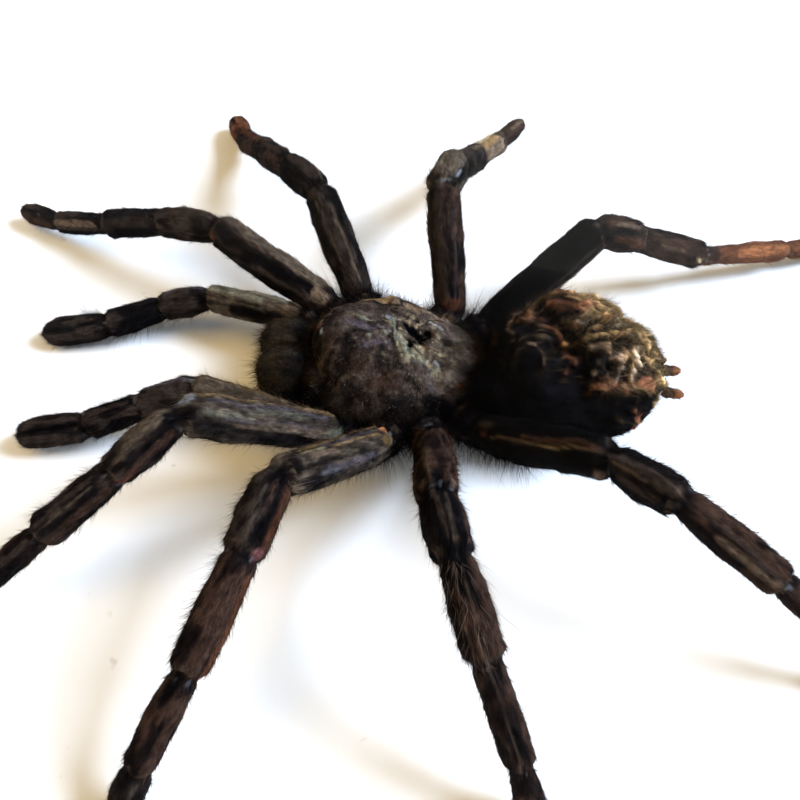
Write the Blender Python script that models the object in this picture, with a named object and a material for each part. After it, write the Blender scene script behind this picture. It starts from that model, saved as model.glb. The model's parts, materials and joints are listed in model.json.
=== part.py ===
"""A tarantula specimen, dried with its legs spread, on a white board in a deep square box frame.

The frame stands upright on its bottom rail: +Z is up, the glass faces -Y, and the origin is under the
middle of the frame. The specimen is built in its own axes, lying on the board: x runs from head to
abdomen, y to its right side and z up from the board, with the origin on the board below the middle of
its back. One empty carries those axes into the frame, where the head points up.
"""

import math

import bmesh
import bpy
from mathutils import Matrix, Vector

MM = 0.001
GAP = 0.3 * MM  # left between pieces that touch

# ---------------------------------------------------------------- frame, driving dimensions
INSERT_SIDE = 204 * MM  # the square rebate that takes glass and boards, 8 inches
RAIL_WALL = 11 * MM  # wood outside the rebate
LIP_WIDTH = 6 * MM  # how far the front lip covers the glass
LIP_DEPTH = 4.6 * MM
FRAME_DEPTH = 50 * MM
EASED_EDGE = 3 * MM  # the rounding on the rail's outer front corner
GLASS_THICKNESS = 2 * MM
SPACER_DEPTH = 29.7 * MM  # holds the glass clear of the specimen
SPACER_THICKNESS = 3 * MM
MOUNT_BOARD_THICKNESS = 5 * MM
BACK_BOARD_THICKNESS = 3 * MM
POINT_SPACING = 110 * MM  # between the two retaining points on one side

# worked out from those
OUTER_HALF = INSERT_SIDE / 2 + RAIL_WALL
INSERT_HALF = INSERT_SIDE / 2 - GAP
CENTRE_HEIGHT = OUTER_HALF
FRONT_Y = -FRAME_DEPTH / 2
GLASS_Y = FRONT_Y + LIP_DEPTH + GAP
SPACER_Y = GLASS_Y + GLASS_THICKNESS + GAP
BOARD_FACE_Y = SPACER_Y + SPACER_DEPTH + GAP
BACK_BOARD_Y = BOARD_FACE_Y + MOUNT_BOARD_THICKNESS + GAP
BACK_FACE_Y = BACK_BOARD_Y + BACK_BOARD_THICKNESS

# ---------------------------------------------------------------- specimen, driving dimensions, mm
BACK_OFFSET = (-0.5, -2.5)  # x, y of the middle of the back from the board's centre: the legs sit centred
BODY_SHIFT = 0.6  # the back and the jaws dried a little to the right of the legs' middle
CARAPACE_FRONT, CARAPACE_REAR = -13.0, 8.6
CARAPACE_HALF_WIDTH = 9.4
CARAPACE_MARGIN = 11.1  # height of its edge above the board
CARAPACE_RISE = 5.6
CARAPACE_EDGE = 0.35  # thickness of its rim
HEAD_X, HEAD_SWELL, HEAD_RADIUS = -9.5, 0.42, 4.0  # the head stands higher than the back behind it
TUBERCLE_X, TUBERCLE_RISE, TUBERCLE_RADIUS = -11.7, 1.5, 1.15
FOVEA_DEPTH, FOVEA_RADIUS = 1.5, 1.25  # the pit in the middle of the back
STERNUM_CENTRE_X, STERNUM_HALF_LENGTH, STERNUM_HALF_WIDTH = -2.4, 6.9, 4.8
STERNUM_BOTTOM = 3.6
CHELICERA_CENTRE, CHELICERA_SIZE = (-16.5, 2.3, 10.0), (3.15, 2.3, 4.8)
CHELICERA_SLOPE = 0.3  # how steeply the jaws rise towards the head
FANG_LENGTH, FANG_RADIUS, FANG_SETBACK = 5.2, 0.75, -1.2
ABDOMEN_CENTRE, ABDOMEN_SIZE = (20.4, -0.45, 10.8), (11.0, 8.5, 8.4)
ABDOMEN_YAW = -8  # degrees; its tip dried a little towards the left
PEDICEL_START_X, PEDICEL_RADIUS, PEDICEL_DROP = 4.9, 1.2, 2.2
SPINNERET_CLEARANCE = 0.55  # from the abdomen's sloping skin to the middle of the root
SPINNERET_PROFILE = ((0.0, 0.62), (0.2, 0.72), (0.48, 0.60), (0.56, 0.66), (0.85, 0.55), (1.0, 0.25))
# Where each spinneret leaves the abdomen: share of its length, angle round it from the right side, and
# its own length.
SPINNERETS = {"left": (0.935, 205, 2.6), "right": (0.93, 335, 2.2)}

SEGMENTS = ("femur", "patella", "tibia", "metatarsus", "tarsus")
LENGTHS = {
    "pedipalp": (15.3, 8.0, 8.1, 9.8),
    "leg_1": (19.9, 9.9, 11.8, 10.5, 8.2),
    "leg_2": (16.7, 9.1, 12.4, 10.8, 8.1),
    "leg_3": (17.9, 8.0, 10.0, 12.3, 8.8),
    "leg_4": (19.7, 8.2, 13.1, 14.9, 8.4),
}
RADII = {
    "pedipalp": (2.0, 1.95, 2.0, 2.05),
    "leg_1": (2.6, 2.2, 2.15, 1.75, 1.55),
    "leg_2": (2.55, 2.3, 2.15, 1.85, 1.75),
    "leg_3": (2.5, 2.3, 2.1, 1.8, 1.5),
    "leg_4": (2.6, 2.3, 2.0, 1.6, 1.35),
}
# How each leg dried: where its femur starts, then each segment's heading and slope in degrees.
# Heading 0 points at the abdomen's end, 90 to the specimen's right and 180 straight ahead.
POSES = {
    "pedipalp_right": ((-15.0, 7.6, 9.9), (156, 178, 200, 184), (-12, -19, -6, -8)),
    "pedipalp_left": ((-12.9, -7.8, 8.4), (163, 188, 194, 185), (4, -22, -16, -9)),
    "leg_1_right": ((-11.3, 9.8, 9.8), (146, 158, 159, 160, 153), (10, -14, -22, -17, -8)),
    "leg_1_left": ((-9.5, -9.6, 9.2), (-163, -147, -152, -152, -151), (34, -27, -30, -31, -18)),
    "leg_2_right": ((-7.3, 11.7, 9.5), (114, 125, 120, 119, 111), (23, -13, -25, -27, -12)),
    "leg_2_left": ((-3.5, -11.2, 9.1), (-139, -108, -114, -122, -125), (31, -3, -17, -33, -52)),
    "leg_3_right": ((5.2, 9.4, 8.6), (95, 73, 66, 65, 60), (27, -17, -29, -24, -14)),
    "leg_3_left": ((2.4, -10.0, 8.5), (-89, -80, -69, -63, -62), (40, 19, -26, -47, -60)),
    "leg_4_right": ((9.8, 7.6, 8.6), (35, 22, 13, 15, 16), (24, -30, -28, -10, -9)),
    "leg_4_left": ((8.5, -8.8, 8.5), (-39, -42, -31, -23, -23), (35, 9, -23, -37, -43)),
}
# Where each coxa starts beside the sternum: x, distance from the midline. Its height is COXA_HEIGHT.
COXA_STARTS = {
    "pedipalp": (-9.6, 3.6),
    "leg_1": (-7.0, 4.9),
    "leg_2": (-3.6, 5.5),
    "leg_3": (0.0, 5.5),
    "leg_4": (5.0, 4.0),
}
COXA_HEIGHT = 6.4
TROCHANTER_LENGTH = 1.9
# Thickness along each piece of a leg: share of its length, share of its radius.
COXA_PROFILE = ((0.0, 0.58), (0.5, 0.76), (0.84, 0.81))
TROCHANTER_PROFILE = ((0.0, 0.76),)
PROFILES = {
    "femur": ((0.0, 0.72), (0.13, 0.92), (0.42, 1.0), (0.76, 0.98), (0.94, 0.93)),
    "patella": ((0.0, 0.80), (0.20, 0.95), (0.55, 1.06), (0.90, 0.94)),
    "tibia": ((0.0, 0.82), (0.16, 0.94), (0.50, 1.02), (0.91, 1.0)),
    "metatarsus": ((0.0, 0.84), (0.18, 0.93), (0.88, 1.0)),
    "tarsus": ((0.0, 0.80), (0.22, 1.0), (0.65, 1.08), (0.90, 0.82), (1.0, 0.45)),
}
RING_POINTS = 8
LEG_DEPTH = 1.05  # legs are a little deeper than wide

COLOURS = {
    "frame_wood": ((0.020, 0.018, 0.017), 0.42, 0.0),
    "glass": ((0.95, 0.97, 0.97), 0.03, 0.0),
    "white_board": ((0.88, 0.87, 0.85), 0.85, 0.0),
    "back_board": ((0.33, 0.21, 0.12), 0.80, 0.0),
    "steel": ((0.60, 0.60, 0.58), 0.35, 1.0),
    "carapace": ((0.060, 0.042, 0.032), 0.62, 0.0),
    "leg": ((0.052, 0.027, 0.019), 0.70, 0.0),
    "abdomen": ((0.150, 0.088, 0.045), 0.75, 0.0),
    "fang": ((0.012, 0.008, 0.007), 0.20, 0.0),
}


# ---------------------------------------------------------------- making objects
def material(name):
    """The one material of this name, made when it is first asked for."""
    found = bpy.data.materials.get(name)
    if found:
        return found
    colour, roughness, metallic = COLOURS[name]
    made = bpy.data.materials.new(name)
    made.use_nodes = True
    shader = made.node_tree.nodes["Principled BSDF"]
    shader.inputs["Base Color"].default_value = (*colour, 1.0)
    shader.inputs["Roughness"].default_value = roughness
    shader.inputs["Metallic"].default_value = metallic
    made.diffuse_color = (*colour, 1.0)
    return made


def add_object(name, bm, finish, smooth=True):
    """Turns bm into a named object with one material. Its faces are made to point out."""
    bmesh.ops.recalc_face_normals(bm, faces=bm.faces)
    mesh = bpy.data.meshes.new(name)
    bm.to_mesh(mesh)
    bm.free()
    if smooth:
        mesh.shade_smooth()
        mesh.set_sharp_from_angle(angle=math.radians(50))
    mesh.materials.append(material(finish))
    made = bpy.data.objects.new(name, mesh)
    bpy.context.scene.collection.objects.link(made)
    return made


def box_object(name, low, high, finish):
    """A box from corner to corner."""
    bm = bmesh.new()
    low, high = Vector(low), Vector(high)
    place = Matrix.Translation((low + high) / 2) @ Matrix.Diagonal((*(high - low), 1.0))
    bmesh.ops.create_cube(bm, size=1.0, matrix=place)
    return add_object(name, bm, finish, smooth=False)


def circle(middle, across, lift, radius, points, turn=0.0):
    """Points on a circle, or on an ellipse if across and lift differ in length. mm in, metres out."""
    ring = []
    for k in range(points):
        angle = 2 * math.pi * (k + turn) / points
        ring.append((middle + (across * math.cos(angle) + lift * math.sin(angle)) * radius) * MM)
    return ring


def skin_rings(bm, rings):
    """Joins rings of points, each with as many as the last, into one closed skin with flat ends."""
    loops = [[bm.verts.new(point) for point in ring] for ring in rings]
    for before, after in zip(loops, loops[1:]):
        count = len(before)
        for i in range(count):
            j = (i + 1) % count
            bm.faces.new((before[i], before[j], after[j], after[i]))
    bm.faces.new(loops[0])
    bm.faces.new(loops[-1])


# ---------------------------------------------------------------- frame
def rail_profile():
    """The moulding's section: how far in from the outer edge, and how far back from the front."""
    sight = RAIL_WALL + LIP_WIDTH
    corner = EASED_EDGE * (1 - math.cos(math.radians(45)))
    return (
        (0.0, FRAME_DEPTH),
        (0.0, EASED_EDGE),
        (corner, corner),
        (EASED_EDGE, 0.0),
        (sight - 4 * MM, 0.0),
        (sight - 1.4 * MM, 0.9 * MM),
        (sight, 2.6 * MM),
        (sight, LIP_DEPTH),
        (RAIL_WALL, LIP_DEPTH),
        (RAIL_WALL, FRAME_DEPTH),
    )


def make_rails():
    """Four rails with mitred ends, each the same moulding turned by a quarter."""
    half_gap = GAP / 2 * math.sqrt(2)
    for turn, side in enumerate(("bottom", "right", "top", "left")):
        quarter = Matrix.Rotation(-turn * math.pi / 2, 3, "Y")
        centre = Vector((0, 0, CENTRE_HEIGHT))
        rings = []
        for end in (-1, 1):
            ring = []
            for inward, back in rail_profile():
                along = end * (OUTER_HALF - inward - half_gap)
                ring.append(centre + quarter @ Vector((along, FRONT_Y + back, inward - OUTER_HALF)))
            rings.append(ring)
        bm = bmesh.new()
        skin_rings(bm, rings)
        add_object(f"frame_rail_{side}", bm, "frame_wood", smooth=False)


def make_panels():
    """Glass, the board behind the specimen and the board that closes the back."""
    panels = (
        ("glass", GLASS_Y, GLASS_THICKNESS, "glass"),
        ("mount_board", BOARD_FACE_Y, MOUNT_BOARD_THICKNESS, "white_board"),
        ("back_board", BACK_BOARD_Y, BACK_BOARD_THICKNESS, "back_board"),
    )
    for name, front, thickness, finish in panels:
        low = (-INSERT_HALF, front, CENTRE_HEIGHT - INSERT_HALF)
        high = (INSERT_HALF, front + thickness, CENTRE_HEIGHT + INSERT_HALF)
        box_object(name, low, high, finish)


def make_spacers():
    """Four strips of board round the inside, top and bottom at full length, the sides between them."""
    inner = INSERT_HALF - SPACER_THICKNESS
    spans = {
        "bottom": ((-INSERT_HALF, -INSERT_HALF), (INSERT_HALF, -inner)),
        "top": ((-INSERT_HALF, inner), (INSERT_HALF, INSERT_HALF)),
        "left": ((-INSERT_HALF, -inner + GAP), (-inner, inner - GAP)),
        "right": ((inner, -inner + GAP), (INSERT_HALF, inner - GAP)),
    }
    for side, (start, end) in spans.items():
        low = (start[0], SPACER_Y, CENTRE_HEIGHT + start[1])
        high = (end[0], SPACER_Y + SPACER_DEPTH, CENTRE_HEIGHT + end[1])
        box_object(f"spacer_{side}", low, high, "white_board")


def make_retaining_points():
    """Flat steel tongues out of the rails that hold the back board in, two to a side."""
    length, width, thickness = 11 * MM, 5 * MM, 0.6 * MM
    front = BACK_FACE_Y + GAP
    number = 0
    for turn in range(4):
        quarter = Matrix.Rotation(-turn * math.pi / 2, 3, "Y")
        for shift in (-POINT_SPACING / 2, POINT_SPACING / 2):
            number += 1
            outline = (
                (-width / 2, 0.0),
                (width / 2, 0.0),
                (width / 2, length * 0.55),
                (0.0, length),
                (-width / 2, length * 0.55),
            )
            rings = []
            for back in (front, front + thickness):
                ring = []
                for across, inward in outline:
                    flat = Vector((shift + across, 0, inward - INSERT_SIDE / 2 + GAP))
                    ring.append(quarter @ flat + Vector((0, back, CENTRE_HEIGHT)))
                rings.append(ring)
            bm = bmesh.new()
            skin_rings(bm, rings)
            add_object(f"retaining_point_{number}", bm, "steel", smooth=False)


def make_hanger():
    """The toothed hanger near the top of the back board, and the two rivets that hold it."""
    length, height, thickness = 45 * MM, 8 * MM, 1.0 * MM
    teeth, tooth_depth = 9, 1.8 * MM
    middle = CENTRE_HEIGHT + 80 * MM
    front = BACK_FACE_Y + GAP
    toothed = length - 14 * MM
    outline = [(-length / 2, height / 2), (-length / 2, -height / 2)]
    for i in range(2 * teeth + 1):
        across = -toothed / 2 + toothed * i / (2 * teeth)
        outline.append((across, -height / 2 + (tooth_depth if i % 2 else 0.0)))
    outline += [(length / 2, -height / 2), (length / 2, height / 2)]
    rings = []
    for back in (front, front + thickness):
        rings.append([Vector((across, back, middle + up)) for across, up in outline])
    bm = bmesh.new()
    skin_rings(bm, rings)
    add_object("hanger", bm, "steel", smooth=False)

    rivet_reach, rivet_height = length / 2 - 3.5 * MM, 0.8 * MM
    for side, sign in (("left", -1), ("right", 1)):
        bm = bmesh.new()
        place = Matrix.Translation((sign * rivet_reach, front + thickness + GAP + rivet_height / 2, middle))
        bmesh.ops.create_cone(
            bm,
            cap_ends=True,
            segments=12,
            radius1=1.3 * MM,
            radius2=2.2 * MM,
            depth=rivet_height,
            matrix=place @ Matrix.Rotation(math.pi / 2, 4, "X"),
        )
        add_object(f"hanger_rivet_{side}", bm, "steel")


# ---------------------------------------------------------------- body of the specimen
def bump(x, y, at_x, at_y, radius):
    """1 at a point and falling smoothly to 0 around it."""
    return math.exp(-((x - at_x) ** 2 + (y - at_y) ** 2) / (2 * radius**2))


def carapace_outline(angle):
    """A point of the carapace's plan outline, which is blunt and narrows to both ends. 0 is at the rear."""
    middle = (CARAPACE_FRONT + CARAPACE_REAR) / 2
    reach = (CARAPACE_REAR - CARAPACE_FRONT) / 2
    forward = -math.cos(angle)
    x = middle - reach * math.copysign(abs(forward) ** 0.85, forward)
    side = math.copysign(abs(math.sin(angle)) ** 0.80, math.sin(angle))
    taper = 1.0 - 0.14 * max(0.0, forward) ** 1.6 - 0.37 * max(0.0, -forward) ** 0.82
    return x, BODY_SHIFT + CARAPACE_HALF_WIDTH * side * taper


def carapace_height(x, y, share):
    """Height of the back above the board. share is 0 in the middle and 1 at the edge."""
    y -= BODY_SHIFT
    front = min(1.0, max(0.0, (-3.0 - x) / 6.0)) * max(0.0, 1 - (y / 5.0) ** 2)  # the head ends steeply
    rear = min(1.0, max(0.0, (x + 3.0) / 4.0))  # and the back slopes away more evenly behind it
    dome = CARAPACE_RISE * (1 - share ** (2.2 + 2.8 * front - 0.5 * rear)) ** (0.75 - 0.15 * front + 0.2 * rear)
    head = 1.0 + HEAD_SWELL * bump(x, y, HEAD_X, 0, HEAD_RADIUS) - 0.10 * max(0.0, x) / CARAPACE_REAR
    grooves = 0.0
    distance = math.hypot(x, y)
    if distance > 1.0:
        around = math.atan2(y, x)
        grooves = -0.45 * (0.5 + 0.5 * math.cos(6 * around)) ** 3 * math.sin(math.pi * share)
    eyes = TUBERCLE_RISE * bump(x, y, TUBERCLE_X, 0, TUBERCLE_RADIUS)
    pit = -FOVEA_DEPTH * bump(x, y, 0.4, 0, FOVEA_RADIUS)
    return CARAPACE_MARGIN + dome * head + grooves + eyes + pit


def make_carapace():
    """The hard back: a low dome with the eye hill in front, the pit in the middle and the grooves
    that run out from it, on a flat underside."""
    around = 32
    shares = (1.0, 0.96, 0.90, 0.80, 0.68, 0.54, 0.40, 0.26, 0.13)
    centre_x = -2.2
    bm = bmesh.new()
    loops = []
    for level, share in enumerate((0.95, *shares)):
        ring = []
        for i in range(around):
            edge_x, edge_y = carapace_outline(2 * math.pi * i / around)
            x = centre_x + (edge_x - centre_x) * share
            y = BODY_SHIFT + (edge_y - BODY_SHIFT) * share
            z = CARAPACE_MARGIN - CARAPACE_EDGE if level == 0 else carapace_height(x, y, share)
            ring.append(bm.verts.new(Vector((x, y, z)) * MM))
        loops.append(ring)
    for before, after in zip(loops, loops[1:]):
        for i in range(around):
            j = (i + 1) % around
            bm.faces.new((before[i], before[j], after[j], after[i]))
    bm.faces.new(loops[0])
    top = bm.verts.new(Vector((centre_x, BODY_SHIFT, carapace_height(centre_x, BODY_SHIFT, 0.0))) * MM)
    for i in range(around):
        bm.faces.new((loops[-1][i], loops[-1][(i + 1) % around], top))
    return add_object("carapace", bm, "carapace")


def make_sternum():
    """The plate under the body, between the coxae."""
    around = 20
    top = CARAPACE_MARGIN - CARAPACE_EDGE - GAP / MM
    levels = ((STERNUM_BOTTOM, 0.72), (STERNUM_BOTTOM + 0.9, 0.97), (top, 0.93))
    long_way, wide_way = Vector((STERNUM_HALF_LENGTH, 0, 0)), Vector((0, STERNUM_HALF_WIDTH, 0))
    rings = []
    for height, share in levels:
        rings.append(circle(Vector((STERNUM_CENTRE_X, 0, height)), long_way, wide_way, share, around))
    bm = bmesh.new()
    skin_rings(bm, rings)
    return add_object("sternum", bm, "carapace")


def make_chelicerae():
    """The two swollen jaws in front, each with a fang folded back under it."""
    made = []
    x, y, z = CHELICERA_CENTRE
    for side, sign in (("left", -1), ("right", 1)):
        centre = Vector((x, BODY_SHIFT + sign * y, z))
        made.append(make_jaw(f"chelicera_{side}", centre, sign))
        under = CHELICERA_SLOPE * FANG_SETBACK - CHELICERA_SIZE[2]
        made.append(make_fang(f"fang_{side}", centre + Vector((FANG_SETBACK, 0, under))))
    return made


def make_jaw(name, centre, sign):
    """Boxier than an egg, and pressed flat on the side that faces its pair."""
    steps, around = 9, 14
    boxiness, flat_side = 0.22, 0.93
    rings = []
    for r in range(steps):
        share = (r + 0.35) / (steps - 0.3)
        along, out = -math.cos(math.pi * share), math.sin(math.pi * share)
        ring = []
        for i in range(around):
            angle = 2 * math.pi * i / around
            side, up = out * math.cos(angle), out * math.sin(angle)
            fuller = 1.0 + boxiness * abs(along * up)
            unit = Vector((along * fuller, max(side, -flat_side) * sign, up * fuller))
            offset = unit * Vector(CHELICERA_SIZE)
            offset.z += CHELICERA_SLOPE * offset.x
            ring.append((centre + offset) * MM)
        rings.append(ring)
    bm = bmesh.new()
    skin_rings(bm, rings)
    return add_object(name, bm, "carapace")


def make_fang(name, root):
    """A curved black hook that hangs from under the jaw and points back."""
    steps, sides = 7, 8
    sweep, flattening, tip_radius = math.radians(100), 0.62, 0.08
    bend_radius = FANG_LENGTH / sweep
    across = Vector((0, 1, 0))
    rings = []
    for i in range(steps + 1):
        share = i / steps
        turn = sweep * share
        back = bend_radius * (1 - math.cos(turn))
        down = FANG_RADIUS / 2 + bend_radius * math.sin(turn) * flattening
        ahead = Vector((math.sin(turn), 0, -math.cos(turn)))
        radius = FANG_RADIUS * (1 - share) ** 0.7 + tip_radius
        rings.append(circle(root + Vector((back, 0, -down)), across, across.cross(ahead), radius, sides))
    bm = bmesh.new()
    skin_rings(bm, rings)
    return add_object(name, bm, "fang")


def shrivelled(unit):
    """The abdomen's skin, sunk between folds that run back and down over it."""
    around = math.atan2(unit.z, unit.y)
    along = unit.x
    fullness = math.sqrt(max(0.0, 1 - along * along))
    cross_folds = 0.055 * math.sin(5.0 * along + 2.0 * math.sin(2 * around) + 0.6)
    long_folds = 0.050 * math.sin(4 * around + 3.5 * along)
    creases = 0.030 * math.sin(9 * along - 3 * around)
    hollow = -0.10 * bump(along, around, -0.15, math.radians(75), 0.35)
    blunt_rear = 0.05 * max(0.0, along) * fullness
    folds = cross_folds + long_folds + creases + hollow
    return unit * (1.0 + blunt_rear + folds * (0.35 + 0.65 * fullness))


def abdomen_point(share, angle):
    """A point on the abdomen: share of the way from its front to its tip, angle up from its right side.
    The front sinks to where the stalk joins it."""
    yaw = Matrix.Rotation(math.radians(ABDOMEN_YAW), 3, "Z")
    size = Vector(ABDOMEN_SIZE)
    out = math.sin(math.pi * share) ** (0.85 if share < 0.5 else 1.0)
    unit = Vector((-math.cos(math.pi * share), out * math.cos(angle), out * math.sin(angle)))
    sunk = Vector((0, 0, -PEDICEL_DROP * max(0.0, 1 - share / 0.3) ** 1.5))
    return Vector(ABDOMEN_CENTRE) + yaw @ (shrivelled(unit) * size) + sunk


def make_abdomen():
    """The shrivelled abdomen with the thin stalk that joins it to the body, as one skin."""
    around, steps, stalk_steps = 22, 26, 3
    stalk_start = Vector((PEDICEL_START_X, 0, ABDOMEN_CENTRE[2] - PEDICEL_DROP))
    stalk_end = abdomen_point(0.0, 0.0)
    right, up = Vector((0, 1, 0)), Vector((0, 0, 1))
    rings = []
    for i in range(stalk_steps):
        middle = stalk_start.lerp(stalk_end, i / stalk_steps)
        rings.append(circle(middle, right, up, PEDICEL_RADIUS, around))
    for r in range(1, steps):
        share = r / steps
        ring = []
        for k in range(around):
            ring.append(abdomen_point(share, 2 * math.pi * k / around) * MM)
        rings.append(ring)
    bm = bmesh.new()
    skin_rings(bm, rings)
    return add_object("abdomen", bm, "abdomen")


def make_spinnerets():
    """The pair of short jointed fingers at the abdomen's tip."""
    made = []
    for side, (from_front, angle_round, length) in SPINNERETS.items():
        root = abdomen_point(from_front, math.radians(angle_round))
        outward = (root - Vector(ABDOMEN_CENTRE)).normalized()
        ahead = (outward + Vector((0.8, 0, 0))).normalized()
        root += ahead * SPINNERET_CLEARANCE
        across = Vector((0, 0, 1)).cross(ahead).normalized()
        lift = ahead.cross(across)
        rings = []
        for share, radius in SPINNERET_PROFILE:
            rings.append(circle(root + ahead * length * share, across, lift, radius, 8))
        bm = bmesh.new()
        skin_rings(bm, rings)
        made.append(add_object(f"spinneret_{side}", bm, "leg"))
    return made


# ---------------------------------------------------------------- legs
def direction(heading, slope):
    """The unit vector for a heading and a slope in degrees."""
    heading, slope = math.radians(heading), math.radians(slope)
    flat = math.cos(slope)
    return Vector((flat * math.cos(heading), flat * math.sin(heading), math.sin(slope)))


def leg_pieces(name):
    """(start, end, radius, profile) of each piece of a leg, from the coxa out, in mm."""
    kind, side = name.rsplit("_", 1)
    hip, headings, slopes = POSES[name]
    hip = Vector(hip)
    sign = 1 if side == "right" else -1
    start_x, start_y = COXA_STARTS[kind]
    root = Vector((start_x, sign * start_y, COXA_HEIGHT))
    knuckle = hip + (root - hip).normalized() * TROCHANTER_LENGTH
    radii = RADII[kind]
    pieces = [
        (root, knuckle, radii[0], COXA_PROFILE),
        (knuckle, hip, radii[0], TROCHANTER_PROFILE),
    ]
    parts = SEGMENTS if kind != "pedipalp" else ("femur", "patella", "tibia", "tarsus")
    start = hip
    for part, length, radius, heading, slope in zip(parts, LENGTHS[kind], radii, headings, slopes):
        end = start + direction(heading, slope) * length
        pieces.append((start, end, radius, PROFILES[part]))
        start = end
    return pieces


def leg_rings(pieces):
    """Rings of points along a leg. Where two pieces meet, the ring leans half-way between them."""
    rings = []
    before = None
    for start, end, radius, profile in pieces:
        along = (end - start).normalized()
        for share, fatness in profile:
            lean = along
            if share == 0.0 and before is not None:
                lean = (along + before).normalized()
            side = Vector((0, 0, 1)).cross(lean).normalized()
            up = lean.cross(side) * LEG_DEPTH
            middle = start.lerp(end, share)
            rings.append(circle(middle, side / LEG_DEPTH, up, radius * fatness, RING_POINTS, 0.5))
        before = along
    return rings


def make_legs():
    """Eight legs and two pedipalps, each one skin from its coxa to its tip."""
    made = []
    for name in POSES:
        bm = bmesh.new()
        skin_rings(bm, leg_rings(leg_pieces(name)))
        made.append(add_object(name, bm, "leg"))
    return made


def main():
    """Clears the scene, builds the frame, and builds the specimen under the empty that carries it."""
    for old in list(bpy.data.objects):
        bpy.data.objects.remove(old)
    make_rails()
    make_panels()
    make_spacers()
    make_retaining_points()
    make_hanger()

    specimen = [make_carapace(), make_sternum(), make_abdomen()]
    specimen += make_chelicerae() + make_spinnerets() + make_legs()
    axes = bpy.data.objects.new("specimen_axes", None)
    bpy.context.scene.collection.objects.link(axes)
    down, right = BACK_OFFSET[0] * MM, BACK_OFFSET[1] * MM
    place = Matrix.Translation((right, BOARD_FACE_Y, CENTRE_HEIGHT - down))
    head_up = Matrix(((0, 1, 0), (0, 0, -1), (-1, 0, 0))).to_4x4()
    axes.matrix_world = place @ head_up
    for piece in specimen:
        piece.parent = axes


main()
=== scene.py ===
"""Looks of the framed tarantula specimen: fine skins, hairs, finishes, lights and the photograph's view.

The specimen is worked out in millimetres in its own axes, lying on the board: x runs from head to
abdomen, y to its right side and z up from the board, with the origin on the board below the middle of
its back. to_frame() carries such points into the frame's axes in metres. A leg's skin is laid out by
its length and by the angle round it: 90 degrees is its upper side, and 0 is the side that lies to the
left of someone who looks along it from its hip to its tip.
"""

import itertools
import json
import math
import zlib

import bpy
import numpy as np
from mathutils import Matrix, Vector

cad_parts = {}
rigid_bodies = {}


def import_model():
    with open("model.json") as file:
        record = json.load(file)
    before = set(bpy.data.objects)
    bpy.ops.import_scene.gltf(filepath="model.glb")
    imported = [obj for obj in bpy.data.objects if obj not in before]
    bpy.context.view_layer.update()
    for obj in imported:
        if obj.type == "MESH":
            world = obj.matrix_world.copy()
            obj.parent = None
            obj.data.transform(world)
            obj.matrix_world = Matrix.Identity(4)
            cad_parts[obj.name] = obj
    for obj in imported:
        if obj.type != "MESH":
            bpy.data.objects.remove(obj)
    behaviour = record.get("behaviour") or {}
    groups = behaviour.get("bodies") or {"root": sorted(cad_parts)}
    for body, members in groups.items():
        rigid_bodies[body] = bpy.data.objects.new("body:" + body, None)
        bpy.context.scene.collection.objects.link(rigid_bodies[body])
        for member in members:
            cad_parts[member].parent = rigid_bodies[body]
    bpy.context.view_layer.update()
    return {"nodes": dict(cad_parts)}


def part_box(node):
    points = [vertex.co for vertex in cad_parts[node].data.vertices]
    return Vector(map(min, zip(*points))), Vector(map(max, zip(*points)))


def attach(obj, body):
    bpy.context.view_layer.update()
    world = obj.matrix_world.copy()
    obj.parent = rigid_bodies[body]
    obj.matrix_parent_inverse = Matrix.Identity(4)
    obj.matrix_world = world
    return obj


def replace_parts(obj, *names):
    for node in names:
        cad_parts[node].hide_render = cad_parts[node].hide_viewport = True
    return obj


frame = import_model()

MM = 0.001

# ---------------------------------------------------------------- places taken from the frame
BOARD_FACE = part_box("mount_board")[0].y  # the plane the specimen lies on
BOARD_CENTRE_Z = (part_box("mount_board")[0].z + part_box("mount_board")[1].z) / 2
FRAME_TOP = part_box("frame_rail_top")[1].z
BACK_OFFSET = (-0.5, -2.5)  # x, y of the middle of the back from the board's centre

# ---------------------------------------------------------------- sizes that the solids have too, mm
BODY_SHIFT = 0.6  # the back and the jaws dried a little to the right of the legs' middle
CARAPACE_FRONT, CARAPACE_REAR = -13.0, 8.6
CARAPACE_HALF_WIDTH = 9.4
CARAPACE_MARGIN = 11.1
CARAPACE_RISE = 5.6
CARAPACE_EDGE = 0.35
CARAPACE_CENTRE_X = -2.2
HEAD_X, HEAD_SWELL, HEAD_RADIUS = -9.5, 0.42, 4.0
TUBERCLE_X, TUBERCLE_RISE, TUBERCLE_RADIUS = -11.7, 1.5, 1.15
FOVEA_X = 0.4
STERNUM_CENTRE_X, STERNUM_HALF_LENGTH, STERNUM_HALF_WIDTH = -2.4, 6.9, 4.8
STERNUM_BOTTOM = 3.6
CHELICERA_CENTRE, CHELICERA_SIZE = (-16.5, 2.3, 10.0), (3.15, 2.3, 4.8)
CHELICERA_SLOPE = 0.3
ABDOMEN_CENTRE, ABDOMEN_SIZE = (20.4, -0.45, 10.8), (11.0, 8.5, 8.4)
ABDOMEN_YAW = -8
PEDICEL_START_X, PEDICEL_RADIUS, PEDICEL_DROP = 4.9, 1.2, 2.2
SPINNERET_CLEARANCE = 0.55
SPINNERET_PROFILE = ((0.0, 0.62), (0.2, 0.72), (0.48, 0.60), (0.56, 0.66), (0.85, 0.55), (1.0, 0.25))
SPINNERETS = {"left": (0.935, 205, 2.6), "right": (0.93, 335, 2.2)}
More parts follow.
